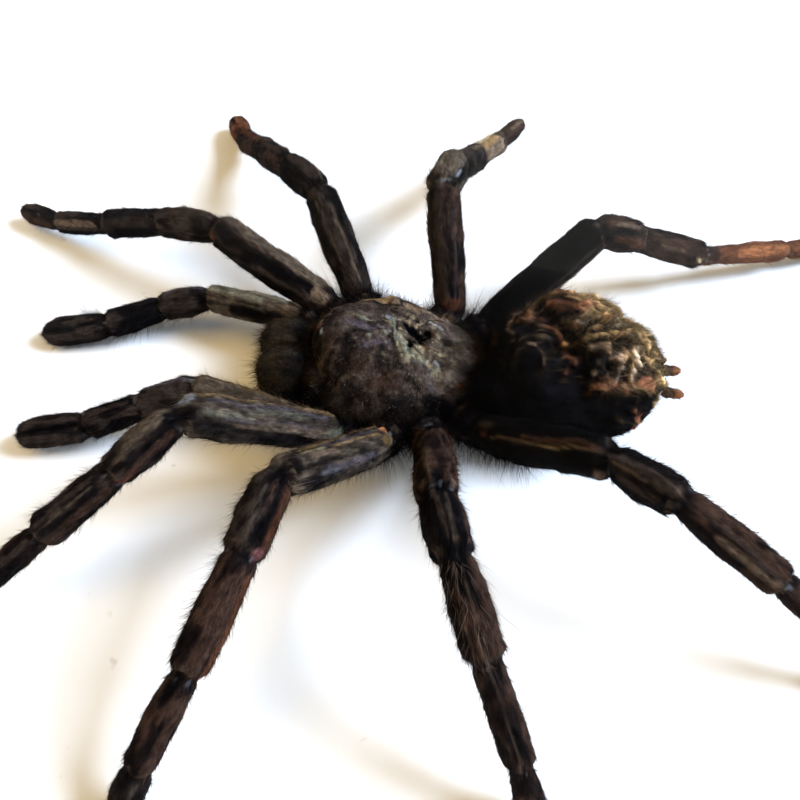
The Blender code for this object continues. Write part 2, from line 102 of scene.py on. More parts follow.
LENGTHS = {
    "pedipalp": (15.3, 8.0, 8.1, 9.8),
    "leg_1": (19.9, 9.9, 11.8, 10.5, 8.2),
    "leg_2": (16.7, 9.1, 12.4, 10.8, 8.1),
    "leg_3": (17.9, 8.0, 10.0, 12.3, 8.8),
    "leg_4": (19.7, 8.2, 13.1, 14.9, 8.4),
}
RADII = {
    "pedipalp": (2.0, 1.95, 2.0, 2.05),
    "leg_1": (2.6, 2.2, 2.15, 1.75, 1.55),
    "leg_2": (2.55, 2.3, 2.15, 1.85, 1.75),
    "leg_3": (2.5, 2.3, 2.1, 1.8, 1.5),
    "leg_4": (2.6, 2.3, 2.0, 1.6, 1.35),
}
POSES = {
    "pedipalp_right": ((-15.0, 7.6, 9.9), (156, 178, 200, 184), (-12, -19, -6, -8)),
    "pedipalp_left": ((-12.9, -7.8, 8.4), (163, 188, 194, 185), (4, -22, -16, -9)),
    "leg_1_right": ((-11.3, 9.8, 9.8), (146, 158, 159, 160, 153), (10, -14, -22, -17, -8)),
    "leg_1_left": ((-9.5, -9.6, 9.2), (-163, -147, -152, -152, -151), (34, -27, -30, -31, -18)),
    "leg_2_right": ((-7.3, 11.7, 9.5), (114, 125, 120, 119, 111), (23, -13, -25, -27, -12)),
    "leg_2_left": ((-3.5, -11.2, 9.1), (-139, -108, -114, -122, -125), (31, -3, -17, -33, -52)),
    "leg_3_right": ((5.2, 9.4, 8.6), (95, 73, 66, 65, 60), (27, -17, -29, -24, -14)),
    "leg_3_left": ((2.4, -10.0, 8.5), (-89, -80, -69, -63, -62), (40, 19, -26, -47, -60)),
    "leg_4_right": ((9.8, 7.6, 8.6), (35, 22, 13, 15, 16), (24, -30, -28, -10, -9)),
    "leg_4_left": ((8.5, -8.8, 8.5), (-39, -42, -31, -23, -23), (35, 9, -23, -37, -43)),
}
COXA_STARTS = {
    "pedipalp": (-9.6, 3.6),
    "leg_1": (-7.0, 4.9),
    "leg_2": (-3.6, 5.5),
    "leg_3": (0.0, 5.5),
    "leg_4": (5.0, 4.0),
}
COXA_HEIGHT = 6.4
TROCHANTER_LENGTH = 1.9
COXA_PROFILE = ((0.0, 0.58), (0.5, 0.76), (0.84, 0.81))
TROCHANTER_PROFILE = ((0.0, 0.76),)
PROFILES = {
    "femur": ((0.0, 0.72), (0.13, 0.92), (0.42, 1.0), (0.76, 0.98), (0.94, 0.93)),
    "patella": ((0.0, 0.80), (0.20, 0.95), (0.55, 1.06), (0.90, 0.94)),
    "tibia": ((0.0, 0.82), (0.16, 0.94), (0.50, 1.02), (0.91, 1.0)),
    "metatarsus": ((0.0, 0.84), (0.18, 0.93), (0.88, 1.0)),
    "tarsus": ((0.0, 0.80), (0.22, 1.0), (0.65, 1.08), (0.90, 0.82), (1.0, 0.45)),
}
LEG_DEPTH = 1.05

# ---------------------------------------------------------------- fineness
SKIN_STEP = 0.30  # along a leg, mm
LEG_AROUND = 48
BODY_AROUND = 190  # round the carapace and round the abdomen
PATH_SOFTNESS = 0.8  # how far a joint's bend is spread along the leg, mm
RADIUS_SOFTNESS = 0.5  # how far a change of thickness is spread along it, mm
ROOT_DEPTH = 0.04  # how far below the skin a hair starts, mm
HIP_FULLNESS = 0.55  # how much the hip's soft skin bulges round its solid, mm

# ---------------------------------------------------------------- colours, linear
JET = (0.0005, 0.0005, 0.0009)
BLACK = (0.0014, 0.0014, 0.0019)
UMBER = (0.0072, 0.0056, 0.0068)
BROWN = (0.031, 0.0225, 0.0185)
RED_BROWN = (0.038, 0.0210, 0.0150)
RUST = (0.110, 0.042, 0.021)
ORANGE = (0.36, 0.140, 0.055)
GREY = (0.080, 0.061, 0.045)
OLIVE = (0.021, 0.0165, 0.0105)
SAGE = (0.165, 0.165, 0.120)
GOLD = (0.250, 0.155, 0.065)
TAN = (0.165, 0.115, 0.080)
CREAM = (0.48, 0.39, 0.23)
PINK = (0.20, 0.075, 0.080)
MEMBRANE = (0.30, 0.33, 0.37)
VIOLET = (0.058, 0.048, 0.058)

# The tone that catches the light on each segment, from the hip to the tip
SHEENS = {
    "pedipalp_right": (GREY, BROWN, UMBER, BROWN),
    "pedipalp_left": (GREY, BROWN, BROWN, BROWN),
    "leg_1_right": (BROWN, BROWN, UMBER, UMBER, BROWN),
    "leg_1_left": (GREY, BROWN, BROWN, RED_BROWN, BROWN),
    "leg_2_right": (BROWN, BROWN, RED_BROWN, RED_BROWN, RUST),
    "leg_2_left": (GREY, BROWN, RED_BROWN, RED_BROWN, BROWN),
    "leg_3_right": (RED_BROWN, GREY, BROWN, TAN, RED_BROWN),
    "leg_3_left": (RED_BROWN, UMBER, RED_BROWN, RED_BROWN, RED_BROWN),
    "leg_4_right": (BLACK, RED_BROWN, RED_BROWN, RUST, RUST),
    "leg_4_left": (BLACK, UMBER, RED_BROWN, RED_BROWN, BROWN),
}

# What is seen on each leg: segment, stretch of it from 0 to 1, angle round it at the start and at the
# end, half width in mm, height of relief in mm, colour and how strongly it shows.
LEG_MARKS = {
    "pedipalp_right": (
        ("femur", 0.12, 0.99, 108, 108, 1.7, 0.00, GREY, 0.90),
        ("femur", 0.15, 0.95, 128, 122, 0.50, 0.20, SAGE, 0.60),
        ("femur", 0.35, 0.98, 84, 92, 0.50, 0.18, SAGE, 0.55),
        ("femur", 0.30, 0.98, 45, 52, 0.3, 0.15, GREY, 0.80),
        ("femur", 0.08, 0.70, 15, 20, 1.1, -0.30, BLACK, 0.95),
        ("femur", 0.00, 0.14, 75, 75, 1.2, 0.00, TAN, 0.50),
        ("patella", 0.05, 0.80, 112, 100, 0.35, 0.12, VIOLET, 0.8),
        ("patella", 0.15, 0.98, 40, 30, 1.0, 0.00, BROWN, 0.8),
        ("patella", 0.20, 0.90, 100, 100, 2.0, 0.45, UMBER, 0.0),
        ("tibia", 0.10, 0.90, 80, 80, 2.0, 0.15, UMBER, 0.0),
        ("tibia", 0.70, 1.00, 60, 60, 1.2, 0.00, BROWN, 0.7),
        ("tarsus", 0.10, 0.85, 66, 60, 0.3, -0.30, BLACK, 0.9),
        ("tarsus", 0.15, 0.90, 25, 20, 0.8, 0.10, BROWN, 0.9),
        ("tarsus", 0.10, 0.60, 90, 86, 0.35, 0.12, BROWN, 0.9),
    ),
    "pedipalp_left": (
        ("femur", 0.10, 0.97, 78, 84, 1.7, 0.00, GREY, 0.55),
        ("femur", 0.20, 0.95, 120, 118, 0.2, 0.20, GOLD, 0.35),
        ("femur", 0.15, 0.90, 60, 70, 0.25, 0.15, GREY, 0.80),
        ("patella", 0.05, 0.75, 100, 106, 0.3, 0.12, VIOLET, 0.9),
        ("patella", 0.20, 0.95, 66, 60, 0.9, 0.05, BROWN, 0.9),
        ("tibia", 0.10, 0.95, 90, 90, 0.5, 0.10, BROWN, 0.8),
        ("tarsus", 0.05, 0.85, 66, 62, 0.3, -0.30, BLACK, 0.9),
        ("tarsus", 0.20, 0.95, 30, 30, 0.7, 0.12, BROWN, 0.9),
        ("tarsus", 0.05, 0.75, 95, 92, 0.5, 0.10, BROWN, 0.9),
    ),
    "leg_1_right": (
        ("femur", 0.10, 0.97, 116, 118, 1.3, 0.00, GREY, 0.90),
        ("femur", 0.08, 0.92, 134, 130, 0.35, 0.28, TAN, 0.45),
        ("femur", 0.18, 0.80, 96, 84, 0.20, 0.30, TAN, 0.40),
        ("femur", 0.20, 0.95, 60, 55, 1.0, -0.25, BLACK, 0.75),
        ("femur", 0.10, 0.60, 35, 25, 0.35, 0.15, BROWN, 0.80),
        ("femur", 0.80, 0.98, 65, 60, 1.2, 0.20, UMBER, 0.60),
        ("femur", 0.00, 0.13, 75, 75, 1.3, 0.10, TAN, 0.75),
        ("femur", 0.93, 1.00, 15, 15, 0.7, 0.35, RUST, 0.8),
        ("patella", 0.02, 0.75, 110, 100, 1.3, 0.10, BROWN, 0.95),
        ("patella", 0.05, 0.80, 125, 112, 0.5, 0.12, TAN, 0.50),
        ("patella", 0.97, 1.00, 60, 60, 3.0, 0.10, TAN, 0.45),
        ("tibia", 0.05, 0.95, 40, 40, 1.0, 0.00, BROWN, 0.55),
        ("metatarsus", 0.10, 0.95, 30, 40, 0.7, 0.05, TAN, 0.65),
        ("metatarsus", 0.05, 0.95, 5, 10, 0.5, 0.00, BROWN, 0.9),
        ("metatarsus", 0.45, 0.98, 100, 90, 0.9, 0.00, BROWN, 0.9),
        ("tarsus", 0.05, 0.90, 10, 15, 0.8, 0.00, RED_BROWN, 0.9),
        # a small white painted highlight on the tarsus
        ("tarsus", 0.33, 0.38, 62, 62, 0.18, 0.15, MEMBRANE, 0.8),
        ("tarsus", 0.45, 0.85, 100, 100, 0.6, 0.00, BROWN, 0.8),
    ),
    "leg_1_left": (
        # a broad grey painted sheen along the femur's upper side
        ("femur", 0.05, 0.97, 72, 74, 1.9, 0.00, GREY, 0.22),
        ("femur", 0.10, 0.90, 95, 98, 0.45, 0.10, VIOLET, 0.55),
        ("femur", 0.25, 0.65, 84, 80, 0.50, 0.12, SAGE, 0.40),
        ("femur", 0.60, 0.92, 60, 62, 0.45, 0.10, SAGE, 0.30),
        ("femur", 0.10, 0.60, 46, 50, 0.35, 0.10, TAN, 0.45),
        ("femur", 0.04, 0.98, 112, 118, 0.20, 0.42, GOLD, 0.40),
        ("femur", 0.05, 0.72, 32, 38, 0.20, 0.40, TAN, 0.60),
        ("femur", 0.10, 0.70, 74, 78, 0.8, -0.35, BROWN, 0.45),
        ("femur", 0.20, 0.80, 55, 53, 0.22, 0.12, VIOLET, 0.6),
        ("femur", 0.05, 0.95, 8, 12, 1.0, -0.10, UMBER, 0.8),
        ("femur", 0.00, 0.12, 45, 45, 0.7, 0.15, SAGE, 0.50),
        ("femur", 0.93, 1.00, 60, 60, 1.4, -0.55, BLACK, 0.95),
        ("femur", 0.94, 1.00, 115, 115, 0.7, 0.20, MEMBRANE, 0.35),
        ("patella", 0.00, 0.12, 75, 75, 1.4, -0.35, BLACK, 0.9),
        ("patella", 0.10, 0.85, 80, 66, 0.35, 0.18, GREY, 0.95),
        ("patella", 0.05, 0.60, 105, 100, 0.6, 0.20, GREY, 0.80),
        ("patella", 0.10, 0.95, 20, 10, 0.6, 0.00, RED_BROWN, 0.9),
        ("patella", 0.70, 1.00, 8, 5, 0.5, 0.10, RUST, 0.4),
        ("patella", 0.92, 1.00, 10, 10, 0.8, 0.10, PINK, 0.7),
        ("tibia", 0.05, 0.95, 15, 10, 0.8, 0.00, RED_BROWN, 0.8),
        ("tibia", 0.10, 0.90, 85, 80, 0.4, 0.10, BROWN, 0.9),
        ("tibia", 0.15, 0.80, 60, 62, 0.2, 0.10, GREY, 0.7),
        ("metatarsus", 0.05, 0.90, 60, 60, 0.5, 0.12, BROWN, 0.8),
    ),
    "leg_2_right": (
        ("femur", 0.08, 0.92, 80, 66, 1.2, 0.00, BROWN, 0.45),
        ("femur", 0.10, 0.75, 98, 92, 0.22, 0.25, TAN, 0.35),
        ("femur", 0.25, 0.85, 60, 52, 0.2, 0.18, GREY, 0.60),
        ("femur", 0.40, 0.95, 120, 118, 0.7, -0.20, BLACK, 0.8),
        ("femur", 0.00, 0.10, 80, 80, 1.6, 0.00, BROWN, 0.9),
        ("patella", 0.05, 0.90, 95, 90, 0.9, 0.00, BROWN, 0.9),
        ("patella", 0.05, 0.40, 130, 125, 0.4, 0.10, TAN, 0.35),
        ("patella", 0.10, 0.90, 180, 180, 1.4, 0.30, BROWN, 0.3),
        ("tibia", 0.10, 0.90, 80, 85, 0.5, 0.10, BROWN, 0.8),
        ("tibia", 0.85, 1.00, 85, 85, 1.0, 0.10, TAN, 0.35),
        ("metatarsus", 0.05, 0.95, 95, 90, 0.8, 0.05, RUST, 0.45),
        ("tarsus", 0.10, 1.00, 100, 100, 0.9, 0.05, RUST, 0.85),
        ("tarsus", 0.40, 0.90, 80, 80, 0.4, 0.05, ORANGE, 0.30),
    ),
    "leg_2_left": (
        # a broad grey painted sheen along the femur's upper side
        ("femur", 0.05, 0.95, 70, 70, 1.7, 0.00, GREY, 0.18),
        ("femur", 0.15, 0.70, 104, 102, 0.35, 0.10, VIOLET, 0.55),
        ("femur", 0.62, 0.86, 96, 98, 0.30, 0.20, CREAM, 0.22),
        ("femur", 0.30, 0.90, 52, 58, 0.35, -0.15, BLACK, 0.60),
        ("femur", 0.02, 0.85, 128, 112, 0.22, 0.40, GOLD, 0.40),
        ("femur", 0.10, 0.60, 84, 96, 0.22, 0.20, GOLD, 0.45),
        ("femur", 0.55, 0.80, 75, 85, 0.5, 0.20, TAN, 0.50),
        ("femur", 0.20, 0.70, 30, 40, 0.35, 0.18, VIOLET, 0.8),
        ("femur", 0.60, 0.75, 28, 30, 0.30, 0.10, MEMBRANE, 0.25),
        ("femur", 0.30, 0.90, 12, 15, 0.8, 0.40, UMBER, 0.7),
        ("femur", 0.00, 0.07, 100, 100, 0.8, 0.35, ORANGE, 0.70),
        ("femur", 0.00, 0.12, 60, 60, 0.7, 0.30, GOLD, 0.50),
        ("femur", 0.88, 1.00, 70, 70, 1.6, -0.50, BLACK, 0.95),
        ("patella", 0.00, 0.14, 60, 60, 1.5, -0.35, BLACK, 0.9),
        ("patella", 0.00, 0.60, 175, 175, 1.5, 0.60, UMBER, 0.6),
        ("patella", 0.05, 0.97, 14, 8, 0.9, 0.00, RUST, 0.38),
        ("patella", 0.05, 0.55, 72, 66, 0.25, 0.15, RED_BROWN, 0.8),
        ("patella", 0.20, 0.90, 92, 84, 0.15, 0.15, GREY, 0.45),
        ("patella", 0.88, 1.00, 20, 20, 0.8, 0.10, PINK, 0.80),
        ("tibia", 0.10, 1.00, 6, 6, 0.6, 0.00, RUST, 0.70),
        ("tibia", 0.15, 0.95, 60, 66, 0.7, 0.00, RED_BROWN, 0.8),
        ("tibia", 0.42, 0.46, 160, 160, 0.25, 0.15, ORANGE, 0.8),
        ("metatarsus", 0.10, 1.00, 20, 20, 0.8, 0.00, RED_BROWN, 0.9),
    ),
    "leg_3_right": (
        ("femur", 0.05, 0.95, 60, 60, 1.0, 0.00, BROWN, 0.60),
        ("femur", 0.10, 0.80, 105, 110, 0.22, 0.15, VIOLET, 0.3),
        ("femur", 0.05, 0.95, 5, 10, 0.6, 0.00, RED_BROWN, 0.9),
        ("femur", 0.05, 0.95, 175, 178, 0.6, 0.00, RED_BROWN, 0.9),
        ("femur", 0.00, 0.10, 90, 90, 1.8, 0.00, RUST, 0.50),
        ("femur", 0.97, 1.00, 90, 90, 3.0, 0.05, TAN, 0.40),
        ("patella", 0.10, 1.00, 20, 20, 2.2, 0.70, UMBER, 0.0),
        ("patella", 0.10, 0.95, 80, 70, 1.9, 0.15, GREY, 0.90),
        ("patella", 0.30, 0.80, 55, 50, 0.6, 0.10, SAGE, 0.50),
        ("patella", 0.05, 0.60, 150, 150, 0.9, -0.30, BLACK, 0.9),
        ("patella", 0.20, 0.50, 140, 140, 0.3, 0.10, MEMBRANE, 0.6),
        ("tibia", 0.05, 0.95, 80, 80, 1.5, 0.00, BROWN, 0.9),
        ("tibia", 0.55, 0.90, 100, 100, 0.6, 0.05, TAN, 0.5),
        ("metatarsus", 0.02, 0.75, 90, 90, 4.0, 0.05, TAN, 0.60),
        ("metatarsus", 0.05, 0.70, 110, 90, 0.9, 0.20, GOLD, 0.80),
        ("metatarsus", 0.10, 0.65, 70, 60, 0.4, 0.15, CREAM, 0.80),
        ("metatarsus", 0.70, 0.80, 70, 60, 1.6, -0.30, BLACK, 0.80),
        ("metatarsus", 0.70, 0.97, 100, 100, 1.0, 0.05, BROWN, 0.9),
        ("tarsus", 0.05, 0.95, 90, 90, 2.4, 0.00, RED_BROWN, 0.9),
        ("tarsus", 0.30, 0.90, 120, 110, 0.5, 0.10, TAN, 0.6),
        ("tarsus", 0.85, 1.00, 80, 80, 1.5, 0.00, TAN, 0.5),
    ),
    "leg_3_left": (
        ("femur", 0.05, 0.95, 8, 12, 0.6, 0.25, RUST, 0.8),
        ("femur", 0.55, 0.95, 175, 175, 0.5, 0.20, BROWN, 0.7),
        ("femur", 0.10, 0.60, 60, 70, 0.25, 0.15, RED_BROWN, 0.9),
        ("femur", 0.50, 0.95, 120, 110, 0.3, 0.15, GREY, 0.6),
        ("femur", 0.00, 0.07, 110, 110, 1.0, 0.10, GREY, 0.60),
        ("patella", 0.00, 0.90, 110, 100, 0.3, 0.15, BROWN, 0.9),
        ("patella", 0.10, 0.90, 30, 30, 0.6, 0.00, RED_BROWN, 0.9),
        ("patella", 0.20, 0.90, 78, 84, 0.22, 0.15, GREY, 0.35),
        ("patella", 0.90, 1.00, 150, 150, 0.9, 0.10, TAN, 0.5),
        ("tibia", 0.05, 0.95, 35, 35, 1.0, 0.20, RED_BROWN, 0.95),
        ("tibia", 0.05, 0.95, 115, 125, 0.12, 0.15, TAN, 0.2),
        ("tibia", 0.10, 1.00, 85, 105, 0.12, 0.15, TAN, 0.2),
        ("metatarsus", 0.05, 1.00, 35, 40, 0.9, 0.00, RED_BROWN, 0.9),
        ("metatarsus", 0.00, 0.95, 100, 112, 0.12, 0.15, TAN, 0.2),
    ),
    "leg_4_right": (
        ("femur", 0.15, 0.95, 194, 190, 0.60, 0.00, BROWN, 0.80),
        ("femur", 0.30, 0.90, 202, 198, 0.40, 0.00, TAN, 0.65),
        ("femur", 0.94, 1.00, 195, 195, 0.7, 0.00, PINK, 0.7),
        ("femur", 0.05, 0.98, 120, 120, 3.2, 0.00, JET, 0.85),
        ("femur", 0.45, 0.92, 165, 160, 0.3, 0.12, BROWN, 0.60),
        ("patella", 0.10, 0.75, 118, 112, 0.35, 0.20, TAN, 0.50),
        ("patella", 0.10, 0.75, 140, 138, 0.5, -0.30, BLACK, 0.90),
        ("patella", 0.20, 0.85, 172, 160, 0.7, 0.00, RUST, 0.30),
        ("patella", 0.94, 1.00, 150, 150, 1.2, 0.10, TAN, 0.55),
        ("tibia", 0.02, 0.95, 135, 130, 1.2, 0.10, RED_BROWN, 0.5),
        ("patella", 0.60, 1.00, 135, 130, 1.0, 0.00, BROWN, 0.5),
        ("tibia", 0.20, 0.60, 150, 150, 0.2, 0.10, TAN, 0.35),
        ("tibia", 0.80, 0.86, 165, 172, 0.3, 0.20, CREAM, 0.9),
        ("tibia", 0.97, 1.00, 150, 150, 1.0, 0.10, MEMBRANE, 0.5),
        ("metatarsus", 0.00, 0.25, 120, 120, 3.0, 0.00, RED_BROWN, 0.8),
        ("metatarsus", 0.15, 1.00, 120, 120, 5.0, 0.00, RUST, 0.75),
        ("metatarsus", 0.35, 1.00, 130, 130, 0.9, 0.00, ORANGE, 0.50),
        ("tarsus", 0.00, 1.00, 120, 120, 5.0, 0.00, RUST, 0.50),
    ),
    "leg_4_left": (
        ("femur", 0.22, 0.97, 143, 120, 0.18, 0.20, TAN, 0.35),
        ("femur", 0.50, 0.90, 138, 126, 0.10, 0.15, CREAM, 0.20),
        ("femur", 0.45, 1.00, 122, 104, 0.35, 0.25, RED_BROWN, 0.9),
        ("femur", 0.05, 0.20, 110, 105, 0.70, 0.10, BROWN, 0.6),
        ("femur", 0.12, 0.18, 138, 138, 0.3, 0.20, PINK, 0.20),
        ("femur", 0.05, 0.60, 190, 190, 1.6, 0.50, UMBER, 0.0),
        ("femur", 0.94, 1.00, 200, 200, 0.8, 0.20, TAN, 0.6),
        ("patella", 0.05, 0.90, 115, 110, 0.9, 0.50, BROWN, 0.9),
        ("patella", 0.10, 0.60, 130, 130, 0.2, 0.12, TAN, 0.25),
        ("patella", 0.20, 0.80, 165, 160, 0.5, 0.10, BROWN, 0.9),
        ("tibia", 0.05, 0.95, 95, 105, 0.7, 0.00, RED_BROWN, 0.95),
        ("tibia", 0.30, 0.95, 152, 138, 0.45, 0.05, TAN, 0.50),
        ("tibia", 0.20, 0.95, 118, 122, 0.3, 0.10, BROWN, 0.9),
        ("metatarsus", 0.05, 0.95, 100, 100, 0.9, 0.00, RED_BROWN, 0.9),
        ("metatarsus", 0.10, 0.90, 130, 125, 0.30, 0.08, TAN, 0.30),
    ),
}
# How each joint narrows: depth as a share of the radius, half width in mm, and how pale its skin is, flecked
# partly with painted glints.
JOINTS = {
    "trochanter": (0.06, 0.40, 0.25),
    "femur": (0.10, 0.50, 0.50),
    "patella": (0.18, 0.60, 0.28),
    "tibia": (0.09, 0.35, 0.30),
    "metatarsus": (0.15, 0.45, 0.45),
    "tarsus": (0.12, 0.40, 0.35),
}
# How many hairs the body has, by where they grow
HIP_HAIRS = 1000  # on each leg
CARAPACE_HAIRS, CARAPACE_RIM_HAIRS = 13500, 4000
STERNUM_HAIRS = 3500
JAW_HAIRS, JAW_FRONT_HAIRS, JAW_LOW_HAIRS = 5500, 700, 900  # on each jaw
ABDOMEN_HAIRS, ABDOMEN_GOLDEN_HAIRS, ABDOMEN_FRONT_HAIRS = 16000, 6000, 3500
SPINNERET_HAIRS = 300  # on each
LYING_TO_ERECT = 16  # how many of a leg's hairs lie down for each that stands up
# Each leg's coat: hairs on it and how long they are, mm
COATS = {
    "pedipalp": (7000, 0.85),
    "leg_1": (8600, 0.90),
    "leg_2": (8600, 0.95),
    "leg_3": (8600, 1.00),
    "leg_4": (8600, 1.00),
}
# Longer hairs: leg, segment, stretch of it from 0 to 1, angle, degrees either side of it, how many,
# length in mm, lift from the skin in degrees and colour
FRINGES = (
    ("pedipalp_right", "patella", 0.2, 1.0, 0, 35, 160, 1.6, 50, BLACK),
    ("pedipalp_right", "tibia", 0.0, 1.0, 0, 40, 260, 1.9, 55, BLACK),
    ("pedipalp_right", "tarsus", 0.0, 0.35, 110, 45, 120, 1.7, 50, BLACK),
    ("pedipalp_right", "tarsus", 0.0, 0.9, 0, 40, 140, 1.1, 45, BLACK),
    ("pedipalp_left", "femur", 0.1, 1.0, 100, 50, 160, 1.2, 45, GREY),
    ("pedipalp_left", "tibia", 0.0, 1.0, 100, 60, 220, 1.2, 45, UMBER),
    ("pedipalp_left", "tarsus", 0.0, 1.0, 100, 90, 260, 1.1, 40, UMBER),
    ("pedipalp_left", "tibia", 0.0, 1.0, 10, 50, 180, 1.2, 50, BLACK),
    ("leg_2_left", "femur", 0.0, 0.9, 5, 35, 260, 1.4, 50, BLACK),
    ("leg_1_left", "femur", 0.0, 0.9, 0, 35, 200, 1.2, 50, BLACK),
    ("leg_1_left", "tibia", 0.0, 1.0, 100, 50, 160, 1.2, 45, BROWN),
    ("leg_3_left", "tibia", 0.0, 1.0, 100, 40, 90, 2.4, 14, TAN),
    ("leg_3_left", "tibia", 0.3, 1.0, 190, 30, 110, 1.7, 40, BROWN),
    ("leg_3_left", "femur", 0.0, 0.9, 10, 35, 160, 1.3, 45, UMBER),
    ("leg_4_left", "femur", 0.0, 0.45, 195, 40, 420, 2.2, 60, BLACK),
    ("leg_4_left", "patella", 0.0, 1.0, 60, 60, 160, 1.3, 45, BROWN),
    ("leg_4_left", "tibia", 0.0, 1.0, 20, 60, 160, 1.5, 45, BROWN),
    ("leg_2_left", "tibia", 0.0, 1.0, 170, 50, 200, 1.5, 45, BROWN),
    ("leg_2_left", "patella", 0.0, 1.0, 170, 50, 160, 1.3, 45, UMBER),
    ("leg_1_right", "femur", 0.0, 1.0, 150, 40, 160, 0.9, 40, BROWN),
    ("leg_3_right", "metatarsus", 0.0, 0.8, 20, 60, 120, 1.0, 60, CREAM),
    ("pedipalp_left", "coxa", 0.2, 1.0, 180, 150, 700, 3.0, 60, BLACK),
    ("pedipalp_left", "femur", 0.0, 0.3, 180, 90, 300, 2.2, 50, BLACK),
    ("leg_1_left", "coxa", 0.0, 1.0, 180, 150, 800, 2.8, 60, BLACK),
    ("leg_3_left", "coxa", 0.0, 1.0, 90, 150, 500, 2.6, 60, BLACK),
    ("leg_4_left", "coxa", 0.0, 1.0, 90, 150, 500, 2.6, 60, BLACK),
    ("leg_2_left", "patella", 0.00, 0.08, 12, 14, 40, 1.6, 70, TAN),
)


# ---------------------------------------------------------------- numbers
def normalise(vectors):
    """Each vector at length 1."""
    return vectors / np.maximum(np.linalg.norm(vectors, axis=-1, keepdims=True), 1e-9)


def smooth_step(low, high, value):
    """0 below low and 1 above high, with a soft climb between them."""
    share = np.clip((value - low) / (high - low), 0, 1)
    return share * share * (3 - 2 * share)


def seeded(name):
    """The random numbers of one piece, the same on every run."""
    return np.random.default_rng(zlib.crc32(name.encode()))


def hashed(cells, seed):
    """A repeatable number from 0 to 1 for each whole-number cell, stirred by large odd numbers."""
    x, y, z = (cells[..., i].astype(np.uint32) for i in range(3))
    bits = x * np.uint32(374761393) + y * np.uint32(668265263) + z * np.uint32(2246822519)
    bits = bits + np.uint32(seed * 3266489917 & 0xFFFFFFFF)
    bits = (bits ^ (bits >> np.uint32(13))) * np.uint32(1274126177)
    bits = bits ^ (bits >> np.uint32(16))
    return (bits & np.uint32(0xFFFF)) / 65535.0


def noise(points, size, seed):
    """Smooth noise from -1 to 1, with lumps about size across. size may differ for each axis."""
    scaled = points / np.asarray(size, float)
    cell = np.floor(scaled).astype(np.int64)
    inside = scaled - cell
    inside = inside * inside * (3 - 2 * inside)
    total = 0.0
    for corner in itertools.product((0, 1), repeat=3):
        weight = np.prod(np.where(corner, inside, 1 - inside), axis=-1)
        total = total + weight * hashed(cell + np.array(corner), seed)
    return total * 2 - 1


def fractal(points, size, octaves, seed):
    """Noise with finer noise on it, each octave half as large and half as strong."""
    size = np.asarray(size, float)
    total, weight = 0.0, 0.0
    for octave in range(octaves):
        strength = 0.5**octave
        total = total + strength * noise(points, size * strength, seed + octave)
        weight += strength
    return total / weight


def warped(points, amount, size, seed):
    """points moved about by noise, so that what is drawn by them comes out ragged."""
    return points + amount * np.stack([noise(points, size, seed + k) for k in range(3)], -1)


def mixed(colours, other, share):
    """colours moved towards another colour by share, which is one number or one for each point."""
    share = np.asarray(np.clip(share, 0, 1))[..., None]
    return colours * (1 - share) + np.asarray(other) * share


def bell(distance, width):
    """1 at no distance, 0.37 at width, and falling smoothly to 0 beyond it."""
    return np.exp(-((distance / width) ** 2))


def window(low, high, soft, value):
    """1 from low to high and 0 outside, with each end spread by soft either side of it."""
    return smooth_step(low - soft, low + soft, value) * smooth_step(-high - soft, -high + soft, -value)


def wrapped(degrees):
    """An angle brought between -180 and 180 degrees."""
    return (degrees + 180) % 360 - 180


def frayed(crest, ragged):
    """How strongly a mark of a soft outline shows: solid in its middle and torn at its edge."""
    return smooth_step(0.25, 0.85, crest + 0.35 * ragged * (crest > 0.03))


def lying(lay, normal):
    """lay turned to lie flat on the skin, at length 1."""
    return normalise(lay - normal * (lay * normal).sum(-1, keepdims=True))


def varied(rng, middle, spread, count):
    """How light each of count hairs is, as a factor whose logarithm is middle, give or take spread."""
    return np.exp(rng.normal(middle, spread, (count, 1)))


def to_frame(points):
    """Specimen millimetres to frame metres."""
    x, y, z = points[..., 0], points[..., 1], points[..., 2]
    across = (BACK_OFFSET[1] + y) * MM
    back = BOARD_FACE - z * MM
    up = BOARD_CENTRE_Z - (BACK_OFFSET[0] + x) * MM
    return np.stack([across, back, up], axis=-1)


# ---------------------------------------------------------------- meshes
def add_mesh(name, points, corners, sizes, finish, uv, **attributes):
    """A mesh object from points in specimen millimetres. corners lists each face's points in turn, and
    uv gives the bake map at each of them. Attributes are by point: three numbers each."""
    mesh = bpy.data.meshes.new(name)
    mesh.vertices.add(len(points))
    mesh.vertices.foreach_set("co", to_frame(points).astype(np.float32).ravel())
    mesh.loops.add(len(corners))
    mesh.loops.foreach_set("vertex_index", corners.astype(np.int32))
    mesh.polygons.add(len(sizes))
    starts = np.concatenate([[0], np.cumsum(sizes)[:-1]])
    mesh.polygons.foreach_set("loop_start", starts.astype(np.int32))
    mesh.update(calc_edges=True)
    mesh.shade_smooth()
    layer = mesh.uv_layers.new(name="OFBake")
    layer.uv.foreach_set("vector", uv.astype(np.float32).ravel())
    for key, values in attributes.items():
        made = mesh.attributes.new(key, "FLOAT_VECTOR", "POINT")
        made.data.foreach_set("vector", values.astype(np.float32).ravel())
    mesh.materials.append(finish)
    piece = bpy.data.objects.new(name, mesh)
    bpy.context.scene.collection.objects.link(piece)
    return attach(piece, "root")


def with_ends(values):
    """Rows of values as one list, with the mean of the first row and of the last at its end."""
    return np.concatenate([values.reshape(-1, 3), values[0].mean(0)[None], values[-1].mean(0)[None]])


